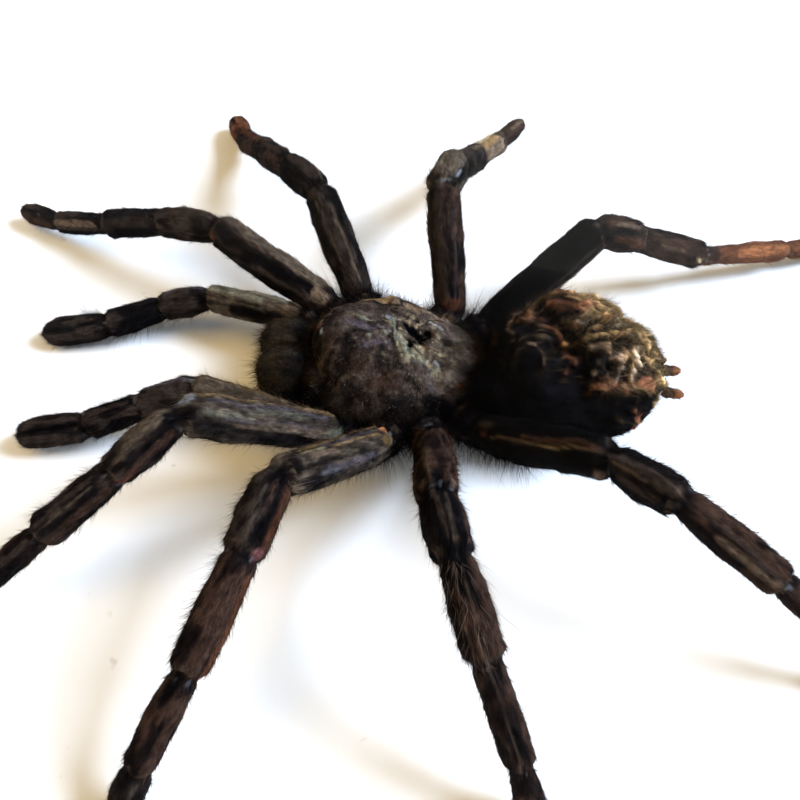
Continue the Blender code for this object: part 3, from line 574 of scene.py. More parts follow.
class Skin:
    """A closed skin as rows of points round an axis, with a colour and a grain position at each point.
    Rows run along it, and a row's points run anticlockwise as seen from its far end."""

    def __init__(self, points, grain):
        self.points = points
        self.grain = grain
        self.colour = np.tile(np.array(UMBER), (*points.shape[:2], 1))
        self.measure()

    def measure(self):
        """Works out the normals and the way each row leads to the next."""
        along = np.gradient(self.points, axis=0)
        round_it = np.roll(self.points, -1, axis=1) - np.roll(self.points, 1, axis=1)
        self.normals = normalise(np.cross(round_it, along))
        self.lay = normalise(along)

    def tint(self, tone, share):
        """Moves the skin's colour towards tone by share at each point."""
        self.colour = mixed(self.colour, tone, share)

    def push(self, amount):
        """Moves each point out along its normal, in mm."""
        self.points = self.points + self.normals * amount[..., None]
        self.measure()

    def add(self, name, finish):
        """The skin as a mesh object, closed at both ends."""
        rows, around, _ = self.points.shape
        first, last = rows * around, rows * around + 1
        r, i = np.meshgrid(np.arange(rows - 1), np.arange(around), indexing="ij")
        r, i = r.ravel(), i.ravel()
        j = (i + 1) % around
        sides = np.stack([r * around + i, r * around + j, (r + 1) * around + j, (r + 1) * around + i], 1)
        k = np.arange(around)
        n = (k + 1) % around
        start = np.stack([np.full(around, first), n, k], 1)
        end = np.stack([np.full(around, last), (rows - 1) * around + k, (rows - 1) * around + n], 1)
        corners = np.concatenate([sides.ravel(), start.ravel(), end.ravel()])
        sizes = np.concatenate([np.full(len(sides), 4), np.full(2 * around, 3)])

        edge = 0.02  # the share of the bake map that each end's cap takes up
        height = edge + (1 - 2 * edge) * r / (rows - 1)
        rise = (1 - 2 * edge) / (rows - 1)
        left, right = i / around, (i + 1) / around
        side_uv = np.stack([left, height, right, height, right, height + rise, left, height + rise], 1)
        middle = (k + 0.5) / around
        low, high = np.full(around, edge), np.full(around, 1 - edge)
        start_uv = np.stack([middle, low * 0.2, (k + 1) / around, low, k / around, low], 1)
        end_uv = np.stack([middle, 1 - low * 0.2, k / around, high, (k + 1) / around, high], 1)
        uv = np.concatenate([side_uv.ravel(), start_uv.ravel(), end_uv.ravel()])

        return add_mesh(
            name, with_ends(self.points), corners, sizes, finish, uv,
            tint=with_ends(self.colour), grain=with_ends(self.grain),
        )

    def roots(self, rng, count, density=None):
        """Random places on the skin: their point, normal, lay and colour. density weighs each point."""
        here, across, ahead = self.points[:-1], np.roll(self.points, -1, 1)[:-1], self.points[1:]
        area = np.linalg.norm(np.cross(across - here, ahead - here), axis=-1)
        if density is not None:
            area = area * density[:-1]
        totals = np.cumsum(area.ravel())
        pick = np.searchsorted(totals, rng.random(count) * totals[-1])
        r, i = np.unravel_index(np.minimum(pick, area.size - 1), area.shape)
        j = (i + 1) % self.points.shape[1]
        u, v = rng.random((2, count, 1))
        found = []
        for values in (self.points, self.normals, self.lay, self.colour):
            near = values[r, i] * (1 - u) + values[r, j] * u
            far = values[r + 1, i] * (1 - u) + values[r + 1, j] * u
            found.append(near * (1 - v) + far * v)
        return found[0], normalise(found[1]), normalise(found[2]), found[3]


class Hairs:
    """Hairs of one piece, kept as arrays and joined into one mesh. Each is a thin closed spike."""

    def __init__(self, name):
        self.name = name
        self.rng = seeded(name)
        self.batches = []

    def grow(self, place, lay, normal, colour, length, width, lift, scatter, spread=0.35):
        """Adds a hair at each place, leaning along lay and lifted off the skin by lift degrees, give
        or take scatter. length and width are in mm, and spread is how much lengths differ."""
        count = len(place)
        rise = np.radians(np.clip(self.rng.normal(lift, scatter, count), 2, 88))[:, None]
        swing = np.radians(self.rng.normal(0, scatter, count))[:, None]
        side = normalise(np.cross(normal, lay))
        flat = lay * np.cos(swing) + side * np.sin(swing)
        ahead = normalise(flat * np.cos(rise) + normal * np.sin(rise))
        reach = np.asarray(length) * np.exp(self.rng.normal(0, spread, count))
        across = normalise(np.cross(ahead, normal + 1e-6))
        other = np.cross(across, ahead)
        root = place - normal * ROOT_DEPTH
        turn = self.rng.random(count) * 2 * np.pi
        corners = []
        for k in range(3):
            angle = (turn + 2 * np.pi * k / 3)[:, None]
            corners.append(root + (across * np.cos(angle) + other * np.sin(angle)) * width / 2)
        corners.append(root + ahead * reach[:, None])
        self.batches.append((np.stack(corners, 1), np.repeat(colour[:, None], 4, 1)))

    def add(self, finish):
        """Joins the hairs into one mesh object."""
        spikes = np.concatenate([batch[0] for batch in self.batches])
        colours = np.concatenate([batch[1] for batch in self.batches])
        count = len(spikes)
        faces = np.array([[0, 1, 3], [1, 2, 3], [2, 0, 3], [0, 2, 1]])
        corners = (np.arange(count)[:, None, None] * 4 + faces[None]).ravel()
        sizes = np.full(count * 4, 3)
        cells = math.ceil(math.sqrt(count))
        column, row = np.arange(count) % cells, np.arange(count) // cells
        # A hair's square of the bake map: its three sides next to each other, and its root below them
        shape = np.array([
            [[0.02, 0.15], [0.32, 0.15], [0.17, 0.98]],
            [[0.35, 0.15], [0.65, 0.15], [0.50, 0.98]],
            [[0.68, 0.15], [0.98, 0.15], [0.83, 0.98]],
            [[0.10, 0.02], [0.50, 0.12], [0.90, 0.02]],
        ])
        uv = (shape[None] + np.stack([column, row], 1)[:, None, None]) / cells
        share = np.zeros((count, 4, 3))
        share[:, 3, 0] = 1.0
        return add_mesh(
            self.name, spikes.reshape(-1, 3), corners, sizes, finish, uv.ravel(),
            tint=colours.reshape(-1, 3), reach=share.reshape(-1, 3),
        )


# ---------------------------------------------------------------- finishes
class Finish:
    """A material with a few short ways to add nodes to it."""

    def __init__(self, name):
        self.material = bpy.data.materials.new(name)
        self.material.use_nodes = True
        self.tree = self.material.node_tree
        self.shader = self.tree.nodes["Principled BSDF"]
        self.output = self.tree.nodes["Material Output"]

    def put(self, socket, value):
        """Links value if it is a socket and sets it if it is a number or a colour."""
        if isinstance(value, bpy.types.NodeSocket):
            self.tree.links.new(value, socket)
        elif hasattr(value, "__len__") and len(value) == 3 and socket.type == "RGBA":
            socket.default_value = (*value, 1.0)
        else:
            socket.default_value = value

    def node(self, kind, settings=None, **inputs):
        """A new node. An input is named as in Blender, in lower case with _ for a space."""
        made = self.tree.nodes.new(kind)
        for key, value in (settings or {}).items():
            setattr(made, key, value)
        for key, value in inputs.items():
            found = [s for s in made.inputs if s.name.lower().replace(" ", "_") == key and s.enabled]
            self.put(found[0], value)
        return made

    def where(self):
        """The place on the piece, in its own axes."""
        return self.node("ShaderNodeTexCoord").outputs["Object"]

    def attribute(self, name, output="Vector"):
        return self.node("ShaderNodeAttribute", {"attribute_name": name}).outputs[output]

    def stretched(self, vector, scale):
        return self.node("ShaderNodeMapping", vector=vector, scale=scale).outputs["Vector"]

    def noise(self, vector, scale, detail, roughness=0.55):
        made = self.node("ShaderNodeTexNoise", vector=vector, scale=scale, detail=detail, roughness=roughness)
        return made.outputs["Fac"]

    def ramp(self, value, low, high, start=0.0, end=1.0):
        """value from low to high becomes start to end."""
        made = self.node(
            "ShaderNodeMapRange", value=value, from_min=low, from_max=high, to_min=start, to_max=end
        )
        return made.outputs["Result"]

    def maths(self, operation, first, second):
        made = self.tree.nodes.new("ShaderNodeMath")
        made.operation = operation
        self.put(made.inputs[0], first)
        self.put(made.inputs[1], second)
        return made.outputs["Value"]

    def mix(self, share, first, second, blend="MIX"):
        made = self.tree.nodes.new("ShaderNodeMix")
        made.data_type = "RGBA"
        made.blend_type = blend
        self.put(made.inputs[0], share)
        self.put(made.inputs[6], first)
        self.put(made.inputs[7], second)
        return made.outputs[2]

    def shaded(self, colour, first, second):
        """colour made lighter or darker by the product of two numbers."""
        shade = self.maths("MULTIPLY", first, second)
        grey = self.node("ShaderNodeCombineColor", red=shade, green=shade, blue=shade)
        return self.mix(1.0, colour, grey.outputs["Color"], "MULTIPLY")

    def bump(self, height, strength, distance, normal=None):
        made = self.node("ShaderNodeBump", height=height, strength=strength, distance=distance)
        if normal is not None:
            self.put(made.inputs["Normal"], normal)
        return made.outputs["Normal"]

    def set(self, **inputs):
        """Sets or links the shader's own inputs."""
        for key, value in inputs.items():
            found = [s for s in self.shader.inputs if s.name.lower().replace(" ", "_") == key]
            self.put(found[0], value)


def skin_finish(name, dust, bump):
    """Dried skin: its own tints, broken up by streaks along the grain, dust in them, and fine creases."""
    made = Finish(name)
    grain = made.attribute("grain")
    tint = made.attribute("tint", "Color")
    streaks = made.noise(made.stretched(grain, (1.0, 1.0, 0.38)), 2.6, 6.0, 0.68)
    blotches = made.noise(grain, 0.75, 4.0, 0.6)
    specks = made.noise(grain, 5.5, 3.0, 0.6)
    streaky, blotchy = made.ramp(streaks, 0.30, 0.72, 0.35, 1.9), made.ramp(blotches, 0.3, 0.7, 0.6, 1.4)
    colour = made.shaded(tint, streaky, blotchy)
    lit = made.ramp(made.maths("MULTIPLY", specks, streaks), 0.33, 0.48, 0.0, dust)
    colour = made.mix(lit, colour, (0.20, 0.18, 0.15))
    creases = made.noise(made.stretched(grain, (1.0, 1.0, 0.3)), 3.2, 5.0, 0.7)
    normal = made.bump(creases, bump, 0.35 * MM)
    normal = made.bump(specks, bump * 0.6, 0.12 * MM, normal)
    roughness = made.ramp(streaks, 0.3, 0.7, 0.50, 0.85)
    made.set(base_color=colour, roughness=roughness, normal=normal, specular_ior_level=0.012)
    return made.material


def hair_finish():
    """Hairs: the tint each grew with, a little lighter towards its tip."""
    made = Finish("hair")
    tint = made.attribute("tint", "Color")
    reach = made.node("ShaderNodeSeparateXYZ", vector=made.attribute("reach")).outputs["X"]
    patches = made.noise(made.where(), 900.0, 2.0)
    lighter, patchy = made.ramp(reach, 0.0, 1.0, 0.75, 1.5), made.ramp(patches, 0.3, 0.7, 0.7, 1.35)
    made.set(base_color=made.shaded(tint, lighter, patchy), roughness=0.6, specular_ior_level=0.0)
    return made.material


def wood_finish(name, along):
    """Black-stained wood, with the grain's fine pores running along the rail."""
    made = Finish(name)
    where = made.where()
    scale = [420.0, 420.0, 420.0]
    scale["XYZ".index(along)] = 16.0
    pores = made.noise(made.stretched(where, scale), 1.0, 5.0, 0.65)
    broad = made.noise(made.stretched(where, [s * 0.12 for s in scale]), 1.0, 3.0)
    worn = made.ramp(pores, 0.42, 0.75, 0.0, 0.55)
    colour = made.mix(worn, (0.009, 0.008, 0.008), (0.036, 0.030, 0.026))
    colour = made.mix(made.ramp(broad, 0.35, 0.7, 0.0, 0.35), colour, (0.020, 0.016, 0.014))
    normal = made.bump(pores, 0.35, 0.15 * MM)
    roughness = made.ramp(pores, 0.3, 0.7, 0.34, 0.55)
    made.set(base_color=colour, roughness=roughness, normal=normal, specular_ior_level=0.45)
    return made.material


def board_finish():
    """White paper-faced foam board: faint fibres, a few warm clouds and grey specks of dust."""
    made = Finish("white_board")
    where = made.where()
    fibres = made.noise(where, 900.0, 4.0, 0.6)
    clouds = made.noise(where, 14.0, 3.0)
    specks = made.noise(where, 520.0, 2.0, 0.4)
    colour = made.mix(made.ramp(clouds, 0.45, 0.75, 0.0, 0.35), (0.90, 0.90, 0.90), (0.89, 0.88, 0.85))
    colour = made.mix(made.ramp(specks, 0.74, 0.80, 0.0, 0.35), colour, (0.45, 0.42, 0.38))
    roughness, normal = made.ramp(fibres, 0.3, 0.7, 0.82, 0.95), made.bump(fibres, 0.2, 0.05 * MM)
    made.set(base_color=colour, roughness=roughness, normal=normal, specular_ior_level=0.2)
    return made.material


def hardboard_finish():
    """Raw brown hardboard: pressed fibres."""
    made = Finish("back_board")
    where = made.where()
    fibres = made.noise(where, 620.0, 6.0, 0.7)
    broad = made.noise(where, 30.0, 3.0)
    colour = made.mix(made.ramp(fibres, 0.35, 0.68), (0.20, 0.115, 0.060), (0.42, 0.280, 0.165))
    colour = made.mix(made.ramp(broad, 0.35, 0.7, 0.0, 0.4), colour, (0.26, 0.160, 0.090))
    roughness, normal = made.ramp(fibres, 0.3, 0.7, 0.7, 0.9), made.bump(fibres, 0.4, 0.12 * MM)
    made.set(base_color=colour, roughness=roughness, normal=normal)
    return made.material


def steel_finish():
    """Zinc-plated sheet: cloudy, with fine rolling marks."""
    made = Finish("steel")
    made.set(metallic=1.0)
    where = made.where()
    rolled = made.noise(made.stretched(where, (2500.0, 2500.0, 120.0)), 1.0, 3.0)
    clouds = made.noise(where, 260.0, 3.0)
    colour = made.mix(made.ramp(clouds, 0.35, 0.7), (0.50, 0.50, 0.49), (0.68, 0.68, 0.66))
    roughness, normal = made.ramp(rolled, 0.3, 0.7, 0.26, 0.46), made.bump(rolled, 0.15, 0.02 * MM)
    made.set(base_color=colour, roughness=roughness, normal=normal)
    return made.material


def glass_finish():
    """Clear low-glare picture glass: what is behind it shows, under a faint reflection."""
    made = Finish("glass")
    links = made.tree.links
    made.tree.nodes.remove(made.shader)
    clear = made.node("ShaderNodeBsdfTransparent", color=(0.985, 0.995, 0.99))
    roughness = made.ramp(made.noise(made.where(), 9.0, 2.0), 0.3, 0.7, 0.02, 0.05)
    gloss = made.node("ShaderNodeBsdfGlossy", color=(1.0, 1.0, 1.0), roughness=roughness)
    facing = made.node("ShaderNodeFresnel", ior=1.45).outputs["Fac"]
    both = made.node("ShaderNodeMixShader")
    links.new(made.maths("MULTIPLY", facing, 0.04), both.inputs[0])
    links.new(clear.outputs[0], both.inputs[1])
    links.new(gloss.outputs[0], both.inputs[2])
    links.new(both.outputs[0], made.output.inputs["Surface"])
    return made.material


# ---------------------------------------------------------------- legs
def direction(heading, slope):
    """The unit vector for a heading and a slope in degrees."""
    heading, slope = math.radians(heading), math.radians(slope)
    flat = math.cos(slope)
    return np.array((flat * math.cos(heading), flat * math.sin(heading), math.sin(slope)))


def leg_pieces(name):
    """(segment, start, end, radius, profile) of each piece of a leg, from the coxa out, in mm."""
    kind, side = name.rsplit("_", 1)
    hip, headings, slopes = POSES[name]
    hip = np.array(hip)
    sign = 1 if side == "right" else -1
    start_x, start_y = COXA_STARTS[kind]
    root = np.array((start_x, sign * start_y, COXA_HEIGHT))
    knuckle = hip + normalise(root - hip) * TROCHANTER_LENGTH
    radii = RADII[kind]
    pieces = [
        ("coxa", root, knuckle, radii[0], COXA_PROFILE),
        ("trochanter", knuckle, hip, radii[0], TROCHANTER_PROFILE),
    ]
    parts = ("femur", "patella", "tibia", "metatarsus", "tarsus")
    if kind == "pedipalp":
        parts = ("femur", "patella", "tibia", "tarsus")
    start = hip
    for part, length, radius, heading, slope in zip(parts, LENGTHS[kind], radii, headings, slopes):
        end = start + direction(heading, slope) * length
        pieces.append((part, start, end, radius, PROFILES[part]))
        start = end
    return pieces


def softened(values, steps):
    """values along a leg, blurred over a number of steps, with the ends kept."""
    reach = int(3 * steps) + 1
    offsets = np.arange(-reach, reach + 1)
    weights = np.exp(-0.5 * (offsets / steps) ** 2)
    weights /= weights.sum()
    flat = values.reshape(len(values), -1)
    before = 2 * flat[0] - flat[reach:0:-1]
    after = 2 * flat[-1] - flat[-2:-reach - 2:-1]
    padded = np.concatenate([before, flat, after])
    blurred = np.stack([np.convolve(column, weights, "valid") for column in padded.T], 1)
    return blurred.reshape(values.shape)


def leg_skin(name):
    """A leg's skin, with the stretch of each of its segments in mm from the coxa's start."""
    stretches, lengths_to, radii, places = {}, [], [], []
    done = 0.0
    for segment, start, end, radius, profile in leg_pieces(name):
        length = np.linalg.norm(end - start)
        stretches[segment] = (done, done + length)
        for share, fatness in profile:
            lengths_to.append(done + share * length)
            radii.append(radius * fatness)
        places.append((done, start))
        done += length
    places.append((done, end))
    count = int(round(done / SKIN_STEP)) + 1
    arc = np.linspace(0, done, count)
    corners = np.array([place for _, place in places])
    at = np.array([length for length, _ in places])
    axis = np.stack([np.interp(arc, at, corners[:, k]) for k in range(3)], 1)
    axis = softened(axis, PATH_SOFTNESS / SKIN_STEP)
    radius = softened(np.interp(arc, lengths_to, radii), RADIUS_SOFTNESS / SKIN_STEP)
    for segment, (depth, width, _) in JOINTS.items():
        if segment in stretches:
            off = arc - stretches[segment][0]
            radius *= 1 - depth * bell(off, width) + 0.05 * bell(abs(off) - 1.1, 0.5)
    left = done - arc
    radius *= np.minimum(1.0, 0.25 + 0.75 * np.sqrt(np.clip(left / 1.1, 0, 1)))

    along = normalise(np.gradient(axis, axis=0))
    side = normalise(np.cross((0.0, 0.0, 1.0), along))
    up = np.cross(along, side)
    angle = 2 * np.pi * np.arange(LEG_AROUND) / LEG_AROUND
    ring = side[:, None] * np.cos(angle)[None, :, None] / LEG_DEPTH
    ring = ring + up[:, None] * np.sin(angle)[None, :, None] * LEG_DEPTH
    points = axis[:, None] + ring * radius[:, None, None]
    grain = np.stack([
        radius[:, None] * np.cos(angle),
        radius[:, None] * np.sin(angle),
        np.repeat(arc[:, None], LEG_AROUND, 1) + (zlib.crc32(name.encode()) % 97) * 10,
    ], -1)
    return Skin(points, grain), stretches, arc, radius, np.degrees(angle)


def paint_leg(skin, name, stretches, arc, radius, angle):
    """Furrows, ridges, hollows and joints of one leg, in shape and in colour, with painted highlights on the
    ridges and painted shade in the hollows.
    """
    grain = skin.grain
    folds = (1 - np.abs(fractal(warped(grain, 0.7, (2.0, 2.0, 3.5), 11), (1.9, 1.9, 5.5), 3, 9))) ** 3
    lumps = fractal(grain, (2.6, 2.6, 3.4), 2, 5)
    furrows = fractal(warped(grain, 0.3, 1.2, 14), (0.8, 0.8, 2.0), 3, 1)
    relief = 0.30 * (folds - 0.50) + 0.17 * lumps + 0.10 * furrows
    patchy = fractal(grain, (1.5, 1.5, 2.4), 3, 23)
    ragged = fractal(grain, (0.55, 0.55, 1.3), 3, 33)

    skin.colour = mixed(np.array(BLACK) + 0 * grain, UMBER, 0.35 + 0.5 * lumps)
    # painted highlight: each segment's sheen tone where the relief stands up
    lit = smooth_step(-0.02, 0.17, relief + 0.26 * patchy)
    for segment, sheen in zip([s for s in stretches if s not in ("coxa", "trochanter")], SHEENS[name]):
        here = window(*stretches[segment], 0.5, arc)[:, None]
        skin.tint(sheen, here * (0.15 + 0.85 * lit))
    # painted shade in the hollows of the relief
    skin.tint(BLACK, 0.85 * smooth_step(0.02, -0.16, relief))

    push = mark_leg(skin, name, stretches, arc, radius, angle, relief - 0.06, ragged)
    push = neck_leg(skin, stretches, arc, push, ragged)
    hip = smooth_step(stretches["femur"][0] + 0.6, stretches["femur"][0] - 1.2, arc)[:, None]
    # painted shade, in patches, about the hip where the leg goes in under the body
    skin.tint(BLACK, 0.7 * hip * smooth_step(0.3, -0.1, patchy))
    skin.push(push + HIP_FULLNESS * hip)


def mark_leg(skin, name, stretches, arc, radius, angle, push, ragged):
    """Draws one leg's own marks, and gives push with their relief added."""
    wander = 7 * fractal(skin.grain * (0, 0, 1), (1.0, 1.0, 2.6), 2, 51)
    for number, mark in enumerate(LEG_MARKS[name]):
        segment, start, end, turn_start, turn_end, width, height, colour, strength = mark
        low, high = stretches[segment]
        share = (arc - low) / (high - low)
        lengthwise = window(start, end, 0.7 / (high - low), share)
        turn = turn_start + (turn_end - turn_start) * np.clip((share - start) / (end - start), 0, 1)
        off = wrapped(angle[None] - turn[:, None] - wander)
        distance = np.radians(np.abs(off)) * radius[:, None]
        shape = bell(distance, width) * lengthwise[:, None]
        uneven = 0.75 + 0.5 * noise(skin.grain + 9 * number, (1.5, 1.5, 2.2), 52)
        push = push + height * shape * uneven
        skin.tint(colour, strength * frayed(shape * (0.8 + 0.4 * uneven), ragged))
    return push


def neck_leg(skin, stretches, arc, push, ragged):
    """Darkens the joints, with pale soft skin in them, its flecks partly painted glints, and a rim before
    each. Gives push with the rims.
    """
    flecks = smooth_step(0.22, 0.50, fractal(skin.grain, (0.8, 0.8, 0.8), 2, 41))
    for segment, (_, width, paleness) in JOINTS.items():
        if segment in stretches:
            off = arc - stretches[segment][0]
            neck = bell(off, 0.7 * width)[:, None]
            skin.tint(BLACK, 0.8 * neck)
            # pale flecks: the soft skin's own colour, partly painted glints
            skin.tint(MEMBRANE, paleness * neck * flecks)
            rim = bell(off + 0.75, 0.20)[:, None]
            skin.tint(TAN, 0.40 * rim * smooth_step(-0.1, 0.4, ragged))
            push = push + 0.12 * rim
    return push


def coat_leg(skin, name, arc, stretches, angle):
    """The coat of one leg: short hairs that lie towards its tip, a few that stand up, and its fringes."""
    count, length = COATS[name.rsplit("_", 1)[0]]
    hairs = Hairs(f"{name}_hairs")
    rng = hairs.rng
    furry = 1.0 - 0.8 * smooth_step(0.05, 0.20, skin.colour.mean(-1))
    place, normal, lay, colour = skin.roots(rng, count, furry)
    tint = mixed(colour, BLACK, 0.10) * varied(rng, 0.0, 0.38, count)
    hairs.grow(place, lay, normal, tint, length, width=0.050, lift=13, scatter=9)
    place, normal, lay, colour = skin.roots(rng, count // LYING_TO_ERECT, furry)
    hairs.grow(place, lay, normal, mixed(colour, BLACK, 0.4), length, width=0.035, lift=38, scatter=16)
    hip = smooth_step(stretches["femur"][0] + 1.0, stretches["femur"][0] - 0.5, arc)[:, None] + 0 * angle
    place, normal, lay, _ = skin.roots(rng, HIP_HAIRS, hip)
    tint = mixed(np.array(BLACK) + 0 * place, UMBER, 0.6 * rng.random(HIP_HAIRS))
    hairs.grow(place, lay, normal, tint, 2.5, width=0.045, lift=45, scatter=22)
    for leg, segment, start, end, middle, spread, number, long, lift, tone in FRINGES:
        if leg == name:
            low, high = stretches[segment]
            along = window(start, end, 0.03, (arc - low) / (high - low))
            across = bell(wrapped(angle - middle), spread)
            place, normal, lay, _ = skin.roots(rng, number, along[:, None] * across)
            tint = np.array(tone) * varied(rng, 0.0, 0.35, number)
            hairs.grow(place, lay, normal, tint, long, width=0.034, lift=lift, scatter=15)
    return hairs


def make_legs(skin_look, hair_look):
    """Eight legs and two pedipalps, each a skin in place of its solid and a coat of hairs."""
    for name in POSES:
        skin, stretches, arc, radius, angle = leg_skin(name)
        paint_leg(skin, name, stretches, arc, radius, angle)
        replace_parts(skin.add(f"{name}_skin", skin_look), name)
        coat_leg(skin, name, arc, stretches, angle).add(hair_look)


# ---------------------------------------------------------------- front body
def bump_at(x, y, at_x, at_y, radius):
    """1 at a point and falling smoothly to 0 around it."""
    return np.exp(-((x - at_x) ** 2 + (y - at_y) ** 2) / (2 * radius**2))


def distance_to_line(points, line):
    """How far each point is from a line of straight stretches."""
    best = np.full(points.shape[:-1], np.inf)
    for start, end in zip(line, line[1:]):
        step = end - start
        share = np.clip(((points - start) @ step) / (step @ step), 0, 1)
        best = np.minimum(best, np.linalg.norm(points - start - share[..., None] * step, axis=-1))
    return best


def carapace_outline(angle):
    """The carapace's plan outline from its midline. Angle 0 is at the rear."""
    middle = (CARAPACE_FRONT + CARAPACE_REAR) / 2
    reach = (CARAPACE_REAR - CARAPACE_FRONT) / 2
    forward = -np.cos(angle)
    x = middle - reach * np.copysign(np.abs(forward) ** 0.85, forward)
    side = np.copysign(np.abs(np.sin(angle)) ** 0.80, np.sin(angle))
    taper = 1.0 - 0.14 * np.maximum(0.0, forward) ** 1.6 - 0.37 * np.maximum(0.0, -forward) ** 0.82
    return x, CARAPACE_HALF_WIDTH * side * taper


def carapace_height(x, y, share, wobble):
    """Height of the back above the board. share is 0 in the middle and 1 at the edge."""
    front = np.clip((-3.0 - x) / 6.0, 0, 1) * np.clip(1 - (y / 5.0) ** 2, 0, 1)
    rear = np.clip((x + 3.0) / 4.0, 0, 1)
    fall = np.clip(1 - share ** (2.2 + 2.8 * front - 0.5 * rear), 0, 1)
    dome = CARAPACE_RISE * fall ** (0.75 - 0.15 * front + 0.2 * rear)
    swell = HEAD_SWELL * bump_at(x, y, HEAD_X, 0, HEAD_RADIUS)
    head = 1.0 + swell - 0.10 * np.maximum(0.0, x) / CARAPACE_REAR
    spoke = np.arctan2(y, x) + 0.12 * wobble
    apart = smooth_step(0.6, 2.5, np.hypot(x, y))
    groove = 0.5 * (0.5 + 0.5 * np.cos(6 * spoke)) ** 4 * np.sin(np.pi * np.clip(share, 0, 1)) * apart
    eyes = TUBERCLE_RISE * bump_at(x, y, TUBERCLE_X, 0, TUBERCLE_RADIUS)
    moat = 0.35 * bump_at(x, y, TUBERCLE_X, 0, 2.0)
    return CARAPACE_MARGIN + dome * head - groove + eyes - moat


# The torn pit in the middle of the back, painted black as shade: x, y, radius and depth, mm from the midline
PIT = (
    (-0.9, 0.9, 0.45, 0.5), (-0.1, 0.4, 0.75, 1.2), (0.8, -0.1, 0.80, 1.3), (1.7, 0.5, 0.55, 0.8),
    (-0.4, -1.9, 0.40, 0.5), (0.4, 2.0, 0.40, 0.5), (0.9, -1.0, 0.45, 0.6),
)
# Spots on the eye hill: x from the hill's middle, y, radius in mm, colour, strength, and the heights of
# the spot's own bump between which it fades in. The two pale spots, of MEMBRANE and CREAM, are painted
# highlights.
EYES = (
    (0.4, 0.0, 0.4, RED_BROWN, 0.8, 0.3, 0.8),
    (0.1, -0.9, 0.35, BLACK, 1.0, 0.25, 0.6),
    (0.3, 0.1, 0.25, PINK, 0.85, 0.3, 0.8),
    (0.6, -0.9, 0.20, MEMBRANE, 0.85, 0.3, 0.8),
    (0.5, 0.7, 0.20, CREAM, 0.85, 0.3, 0.8),
)
# What is seen on the back: line in mm from its midline, half width, relief, colour and strength
CARAPACE_MARKS = (
    (((-8.0, -6.8), (-3.3, -8.3), (-0.3, -8.0), (3.0, -7.0)), 0.9, 0.00, BLACK, 0.80),
    (((-10.5, -6.0), (-8.8, -5.2), (-8.4, -3.6)), 1.2, 0.00, BLACK, 0.65),
    (((-6.6, -4.4), (-4.9, -5.6), (-2.1, -6.2), (-0.6, -5.0)), 1.1, 0.05, RED_BROWN, 0.60),
    (((-2.8, -3.4), (-1.6, -4.8), (0.4, -6.2)), 0.5, -0.15, BLACK, 0.75),
    (((6.0, 3.6), (7.2, 1.2), (4.8, -2.2)), 1.5, 0.00, OLIVE, 0.80),
    (((3.0, -5.9), (4.2, -4.4)), 0.8, 0.10, GREY, 0.70),
    (((1.8, -5.2), (2.4, -6.4)), 0.5, 0.05, VIOLET, 0.60),
    (((-7.8, -0.1), (-5.4, -0.3), (-3.2, -0.6)), 0.55, -0.12, VIOLET, 0.95),
    (((-9.0, 1.1), (-6.5, 0.9), (-3.9, 0.6)), 0.22, 0.22, SAGE, 0.80),
    (((-10.4, 2.2), (-8.2, 2.8), (-5.4, 2.4)), 0.45, 0.15, BROWN, 0.70),
    (((-6.0, -2.7), (-4.0, -2.5), (-2.9, -2.1)), 0.45, -0.10, VIOLET, 0.90),
    (((-7.2, -2.4), (-6.0, -1.9), (-4.9, -1.5), (-3.2, -1.0)), 0.17, 0.16, SAGE, 0.65),
    (((-2.7, 0.8), (-2.1, -0.8), (-1.6, -1.9), (-1.0, -3.0)), 0.70, 0.24, SAGE, 0.75),
    (((-3.3, 1.5), (-2.6, 0.6)), 0.35, 0.12, MEMBRANE, 0.50),
    (((-0.8, -3.1), (1.2, -3.6), (2.8, -4.1)), 0.80, 0.20, SAGE, 0.55),
    (((1.8, -2.6), (2.8, -1.2), (2.9, 0.6), (2.2, 2.0)), 1.00, 0.15, GREY, 0.85),
    (((1.8, 2.4), (3.2, 1.6)), 0.25, 0.15, MEMBRANE, 0.60),
    (((2.0, -3.0), (3.2, -3.3)), 0.22, 0.10, MEMBRANE, 0.45),
    # a small painted highlight
    (((-5.1, -3.5), (-5.0, -3.3)), 0.12, 0.08, CREAM, 0.90),
    (((1.2, -1.7), (1.6, -1.4)), 0.22, 0.15, PINK, 0.55),
    (((5.0, -5.8), (5.6, -5.0)), 0.22, 0.15, ORANGE, 0.55),
    (((-5.0, 5.2), (-2.4, 5.8), (0.8, 5.6), (4.0, 4.6)), 0.60, 0.35, TAN, 1.00),
    (((-3.8, 6.4), (-0.6, 6.8), (3.2, 6.2)), 0.45, 0.30, GOLD, 0.55),
    (((4.0, 3.2), (5.4, 2.4)), 0.30, 0.15, BROWN, 0.80),
)


def carapace_grid():
    """Places all over the carapace: x and y in mm from its midline, how far out each row is from the
    middle (0) to the edge (1), and which rows are under it."""
    levels, under_shares = 76, [0.30, 0.70, 0.93]
    edge_x, edge_y = carapace_outline(2 * np.pi * np.arange(BODY_AROUND) / BODY_AROUND)
    share = np.concatenate([under_shares, 1 - (np.arange(levels) / levels) ** 1.15])[:, None]
    under = (np.arange(len(share)) < len(under_shares))[:, None]
    return CARAPACE_CENTRE_X + (edge_x - CARAPACE_CENTRE_X) * share, edge_y * share, share, under


